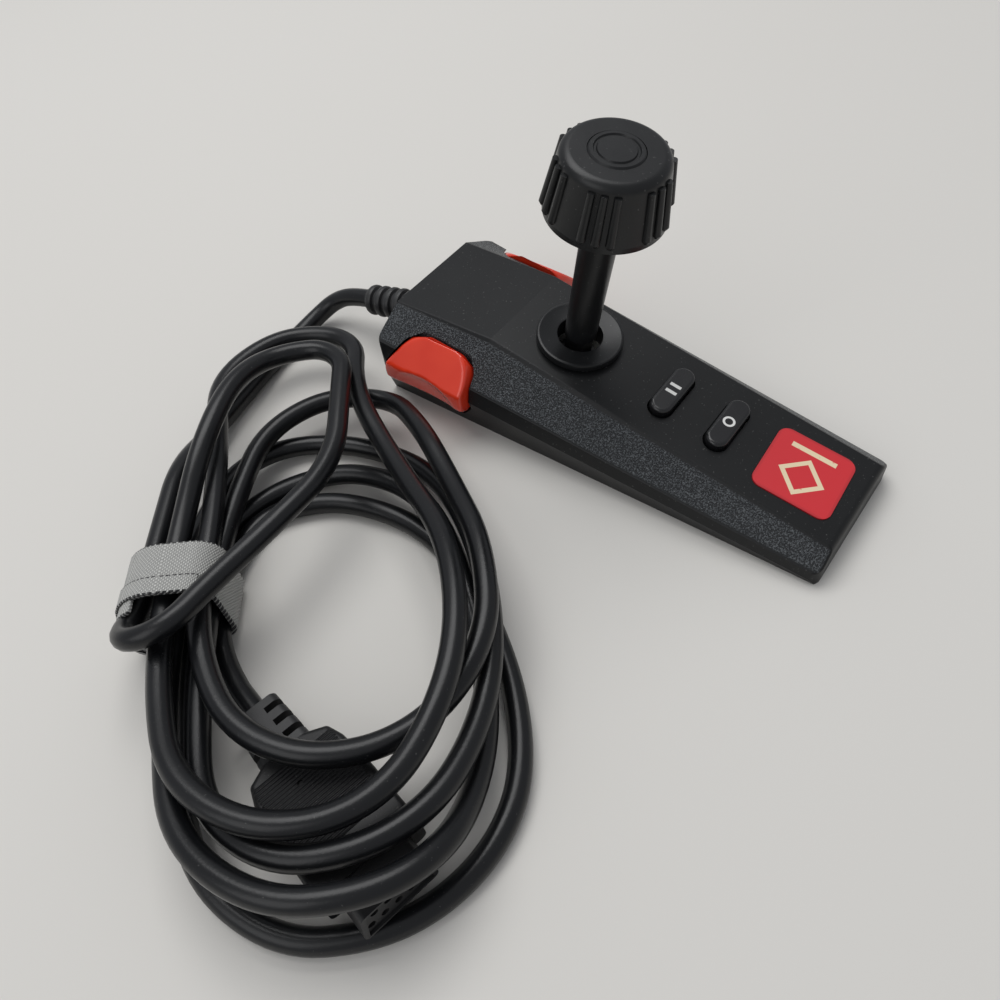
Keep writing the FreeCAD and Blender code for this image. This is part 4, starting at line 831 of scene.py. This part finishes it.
def make_plug_plastic():
    shop = Shop("plug plastic")
    turn = Matrix((PLUG_ACROSS, PLUG_AXIS, PLUG_UP)).transposed().to_euler()
    mapping = shop.node("Mapping", {"vector_type": "TEXTURE"}, Vector=shop.place(),
                        Location=tuple(PLUG_START + PLUG_AXIS * NECK_LENGTH), Rotation=tuple(turn))
    across, along, up = shop.xyz(mapping.outputs[0])
    face = abs(up).above(4.2 * MM, 0.2 * MM) * abs(across).below(8.4 * MM, BORDER)
    field = face * along.above(3.0 * MM, BORDER) * along.below(21.0 * MM, BORDER)
    ridges = (along * (2 * math.pi / RIDGE_PITCH)).wave() * 0.5 + 0.5
    dust = shop.noise(0.35 * MM, 1.0).above(0.73, 0.03)
    patches = shop.noise(5 * MM, 3.0)
    color = shop.blend(patches, shade(18, 18, 19), shade(29, 29, 30))
    color = shop.blend(dust * 0.3, color, shade(132, 132, 128))
    height = ridges * field + shop.noise(0.25 * MM, 2.0) * 0.12
    return shop.finish(color, patches * 0.1 + 0.4, shop.bump(height, 0.22 * MM), Specular_IOR_Level=0.35)


dress(make_plug_plastic(), "plug_body")
print("plug starts at", [round(c, 4) for c in PLUG_START])

# %% [markdown]
# The sheath is smooth soft vinyl. Its long shining lines come from the lamps and need no drawing. Noise
# makes it a little duller in patches, where it was handled, with fine unevenness and a few dust specks.


# %% Sheath
def make_sheath():
    shop = Shop("cord sheath")
    handled = shop.noise(14 * MM, 3.0)
    fine = shop.noise(0.5 * MM, 2.0)
    color = shop.blend(handled, shade(12, 13, 15), shade(20, 21, 23))
    dust = shop.noise(0.4 * MM, 1.0).above(0.76, 0.02)
    color = shop.blend(dust * 0.25, color, shade(120, 120, 118))
    return shop.finish(color, handled * 0.16 + 0.22, shop.bump(fine + handled, 0.02 * MM),
                       Specular_IOR_Level=0.38)


paint(cord, make_sheath())

# %% [markdown]
# The strap is a woven band with a stitched edge. It goes round all the strands, and its end is lapped
# once more round the front half of the band, so two dark stitched lines show. Another bit of its end
# peeps out at the left. Each layer starts as a box without ends, gets its long edges bevelled as the
# strands hold them, and becomes a band with Solidify.


# %% Strap
STRAP_HALF = 10.0 * MM
STRAP_LOW = 1.15 * MM
STRAP_HIGH = 18.6 * MM
STRAP_MIDDLE = (STRAP_LOW + STRAP_HIGH) / 2
STRAP_CORNERS = ((9.0, False, True), (4.4, True, True), (3.0, True, False), (3.0, False, False))
BUNDLE_FRAME = Matrix.Translation(BUNDLE_CENTRE) @ Matrix(
    (BUNDLE_ACROSS, BUNDLE_ALONG, Vector((0, 0, 1)))).transposed().to_4x4()


def make_band(name, rise, front, back, thickness, keep=None):
    """A layer of the strap this far off the strands, between two places along them."""
    bpy.ops.object.select_all(action="DESELECT")
    bpy.ops.mesh.primitive_cube_add(size=1.0, location=(0, (front + back) / 2, STRAP_MIDDLE),
                                    scale=(2 * (STRAP_HALF + rise), back - front,
                                           STRAP_HIGH - STRAP_LOW + 2 * rise))
    band = bpy.context.object
    band.name = name
    bpy.ops.object.transform_apply(location=True, rotation=False, scale=True)
    bpy.ops.object.mode_set(mode="EDIT")
    select_where(band, "FACE", lambda place, normal: abs(normal.y) > 0.9)
    bpy.ops.mesh.delete(type="ONLY_FACE")
    for corner, right, high in STRAP_CORNERS:
        select_where(band, "EDGE", lambda place, way: abs(way.y) > 0.5 * (back - front)
                     and abs(place.x) > STRAP_HALF + rise - 0.1 * MM and (place.x > 0) == right
                     and abs(place.z - STRAP_MIDDLE) > (STRAP_HIGH - STRAP_LOW) / 2 - 0.1 * MM
                     and (place.z > STRAP_MIDDLE) == high)
        bpy.ops.mesh.bevel(offset=corner * MM + rise, segments=7, profile=0.5, affect="EDGES")
    select_where(band, "EDGE", lambda place, way: abs(way.y) > 0.5 * (back - front))
    bpy.ops.mesh.subdivide(number_cuts=7)
    if keep is not None:
        select_where(band, "FACE", lambda place, normal: not keep(place))
        bpy.ops.mesh.delete(type="FACE")
    bpy.ops.object.mode_set(mode="OBJECT")
    apply_modifier(band, "SOLIDIFY", thickness=thickness, offset=1.0, use_even_offset=True)
    apply_modifier(band, "BEVEL", width=0.22 * MM, segments=2, limit_method="ANGLE")
    bpy.ops.object.shade_smooth_by_angle(angle=math.radians(40))
    band.matrix_world = BUNDLE_FRAME
    bpy.ops.object.transform_apply(location=True, rotation=True, scale=True)
    return band


THREAD_ROW, THREAD_LENGTH, STITCH_LENGTH = 0.46 * MM, 0.8 * MM, 1.3 * MM


def make_cloth(name, lines):
    """Woven cloth with dark stitching along lines at these places along the strands."""
    shop = Shop(name)
    mapping = shop.node("Mapping", {"vector_type": "TEXTURE"}, Vector=shop.place(),
                        Location=tuple(BUNDLE_CENTRE), Rotation=tuple(BUNDLE_FRAME.to_euler()))
    across, along, up = shop.xyz(mapping.outputs[0])
    round_way = abs(across) - up
    row = (round_way / THREAD_ROW).whole()
    thread = ((along / THREAD_LENGTH + row * 0.5) * (2 * math.pi)).wave() * 0.5 + 0.5
    between = ((round_way / THREAD_ROW).part() - 0.5)
    weave = thread * (1.0 - between * between * 3.6)
    seams = [abs(along - line * MM).below(0.2 * MM, 0.08 * MM) for line in lines]
    stitched = seams[0]
    for seam in seams[1:]:
        stitched = stitched.most(seam)
    stitch = stitched * (round_way * (2 * math.pi / STITCH_LENGTH)).wave().above(-0.55, 0.2)
    fuzz = shop.noise(0.25 * MM, 3.0)
    color = shop.blend(weave * 0.75 + fuzz * 0.25, shade(138, 138, 135), shade(226, 226, 221))
    color = shop.blend(stitch, color, shade(34, 34, 35))
    return shop.finish(color, fuzz * 0.1 + 0.85, shop.bump(weave + fuzz * 0.3 + stitch * 0.3, 0.28 * MM),
                       Sheen_Weight=0.2)


strap = make_band("strap", 0.0, -6.0 * MM, 6.0 * MM, 1.05 * MM)
strap_lap = make_band("strap_lap", 1.06 * MM, -6.3 * MM, -2.2 * MM, 0.4 * MM,
                      lambda place: place.z > 3.5 * MM and place.x < 8.0 * MM)
strap_end = make_band("strap_end", 0.02 * MM, -9.2 * MM, -6.05 * MM, 0.85 * MM,
                      lambda place: place.x < -4.5 * MM)
for piece, lines in ((strap, (-5.85, 5.85)), (strap_lap, (-6.15, -2.35)), (strap_end, (-9.05,))):
    paint(piece, make_cloth(piece.name + " cloth", lines))
    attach(piece, "housing")
    print(piece.name, "faces", len(piece.data.polygons))
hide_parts("cord_tie")

# %% [markdown]

# %% [markdown]
# The floor is a wide pale sheet of paper. Its own colour is as light as the photograph's background, so
# the lamps need no extra strength, and they lay the part's soft shadow on it. A curved backdrop would
# do as well, but the camera looks down, so one wide plane fills its picture.


# %% Floor
def make_floor():
    bpy.ops.object.select_all(action="DESELECT")
    bpy.ops.mesh.primitive_plane_add(size=30.0, location=(0, 0, 0))
    floor = bpy.context.object
    floor.name = "floor"
    shop = Shop("paper")
    cloud = shop.noise(0.4, 2.0)
    fine = shop.noise(2 * MM, 2.0)
    shop.finish(shop.blend(cloud, shade(212, 209, 203), shade(217, 215, 210)), 0.75,
                shop.bump(fine, 0.01 * MM))
    paint(floor, shop.material)
    print("floor is", round(floor.dimensions.x, 1), "m wide")


make_floor()

# %% [markdown]
# The light is a broad soft box overhead and behind, a weaker one from the left, and an even pale world.
# A point lamp would give hard shadows and pinprick highlights. Area lamps are as large as a window, and
# black plastic shows them as long soft highlights along its edges.


# %% Lamps
def add_lamp(name, spot, size, power):
    """A rectangular lamp that looks at the part."""
    data = bpy.data.lights.new(name, "AREA")
    data.shape = "RECTANGLE"
    data.size, data.size_y = size
    data.energy = power
    lamp = bpy.data.objects.new(name, data)
    lamp.location = spot
    lamp.rotation_euler = (-Vector(spot)).to_track_quat("-Z", "Y").to_euler()
    bpy.context.scene.collection.objects.link(lamp)
    print(name, power, "W")


add_lamp("overhead", (0.15, 0.35, 0.95), (0.9, 0.6), 6.0)
add_lamp("left fill", (-0.9, 0.1, 0.7), (0.7, 0.7), 2.0)
world = bpy.data.worlds.new("room")
world.use_nodes = True
background = world.node_tree.nodes["Background"]
background.inputs["Color"].default_value = (0.93, 0.95, 1.0, 1.0)
background.inputs["Strength"].default_value = 0.42
bpy.context.scene.world = world

# %% [markdown]
# The last step brings the scene up to date.

# %% The end
bpy.context.view_layer.update()
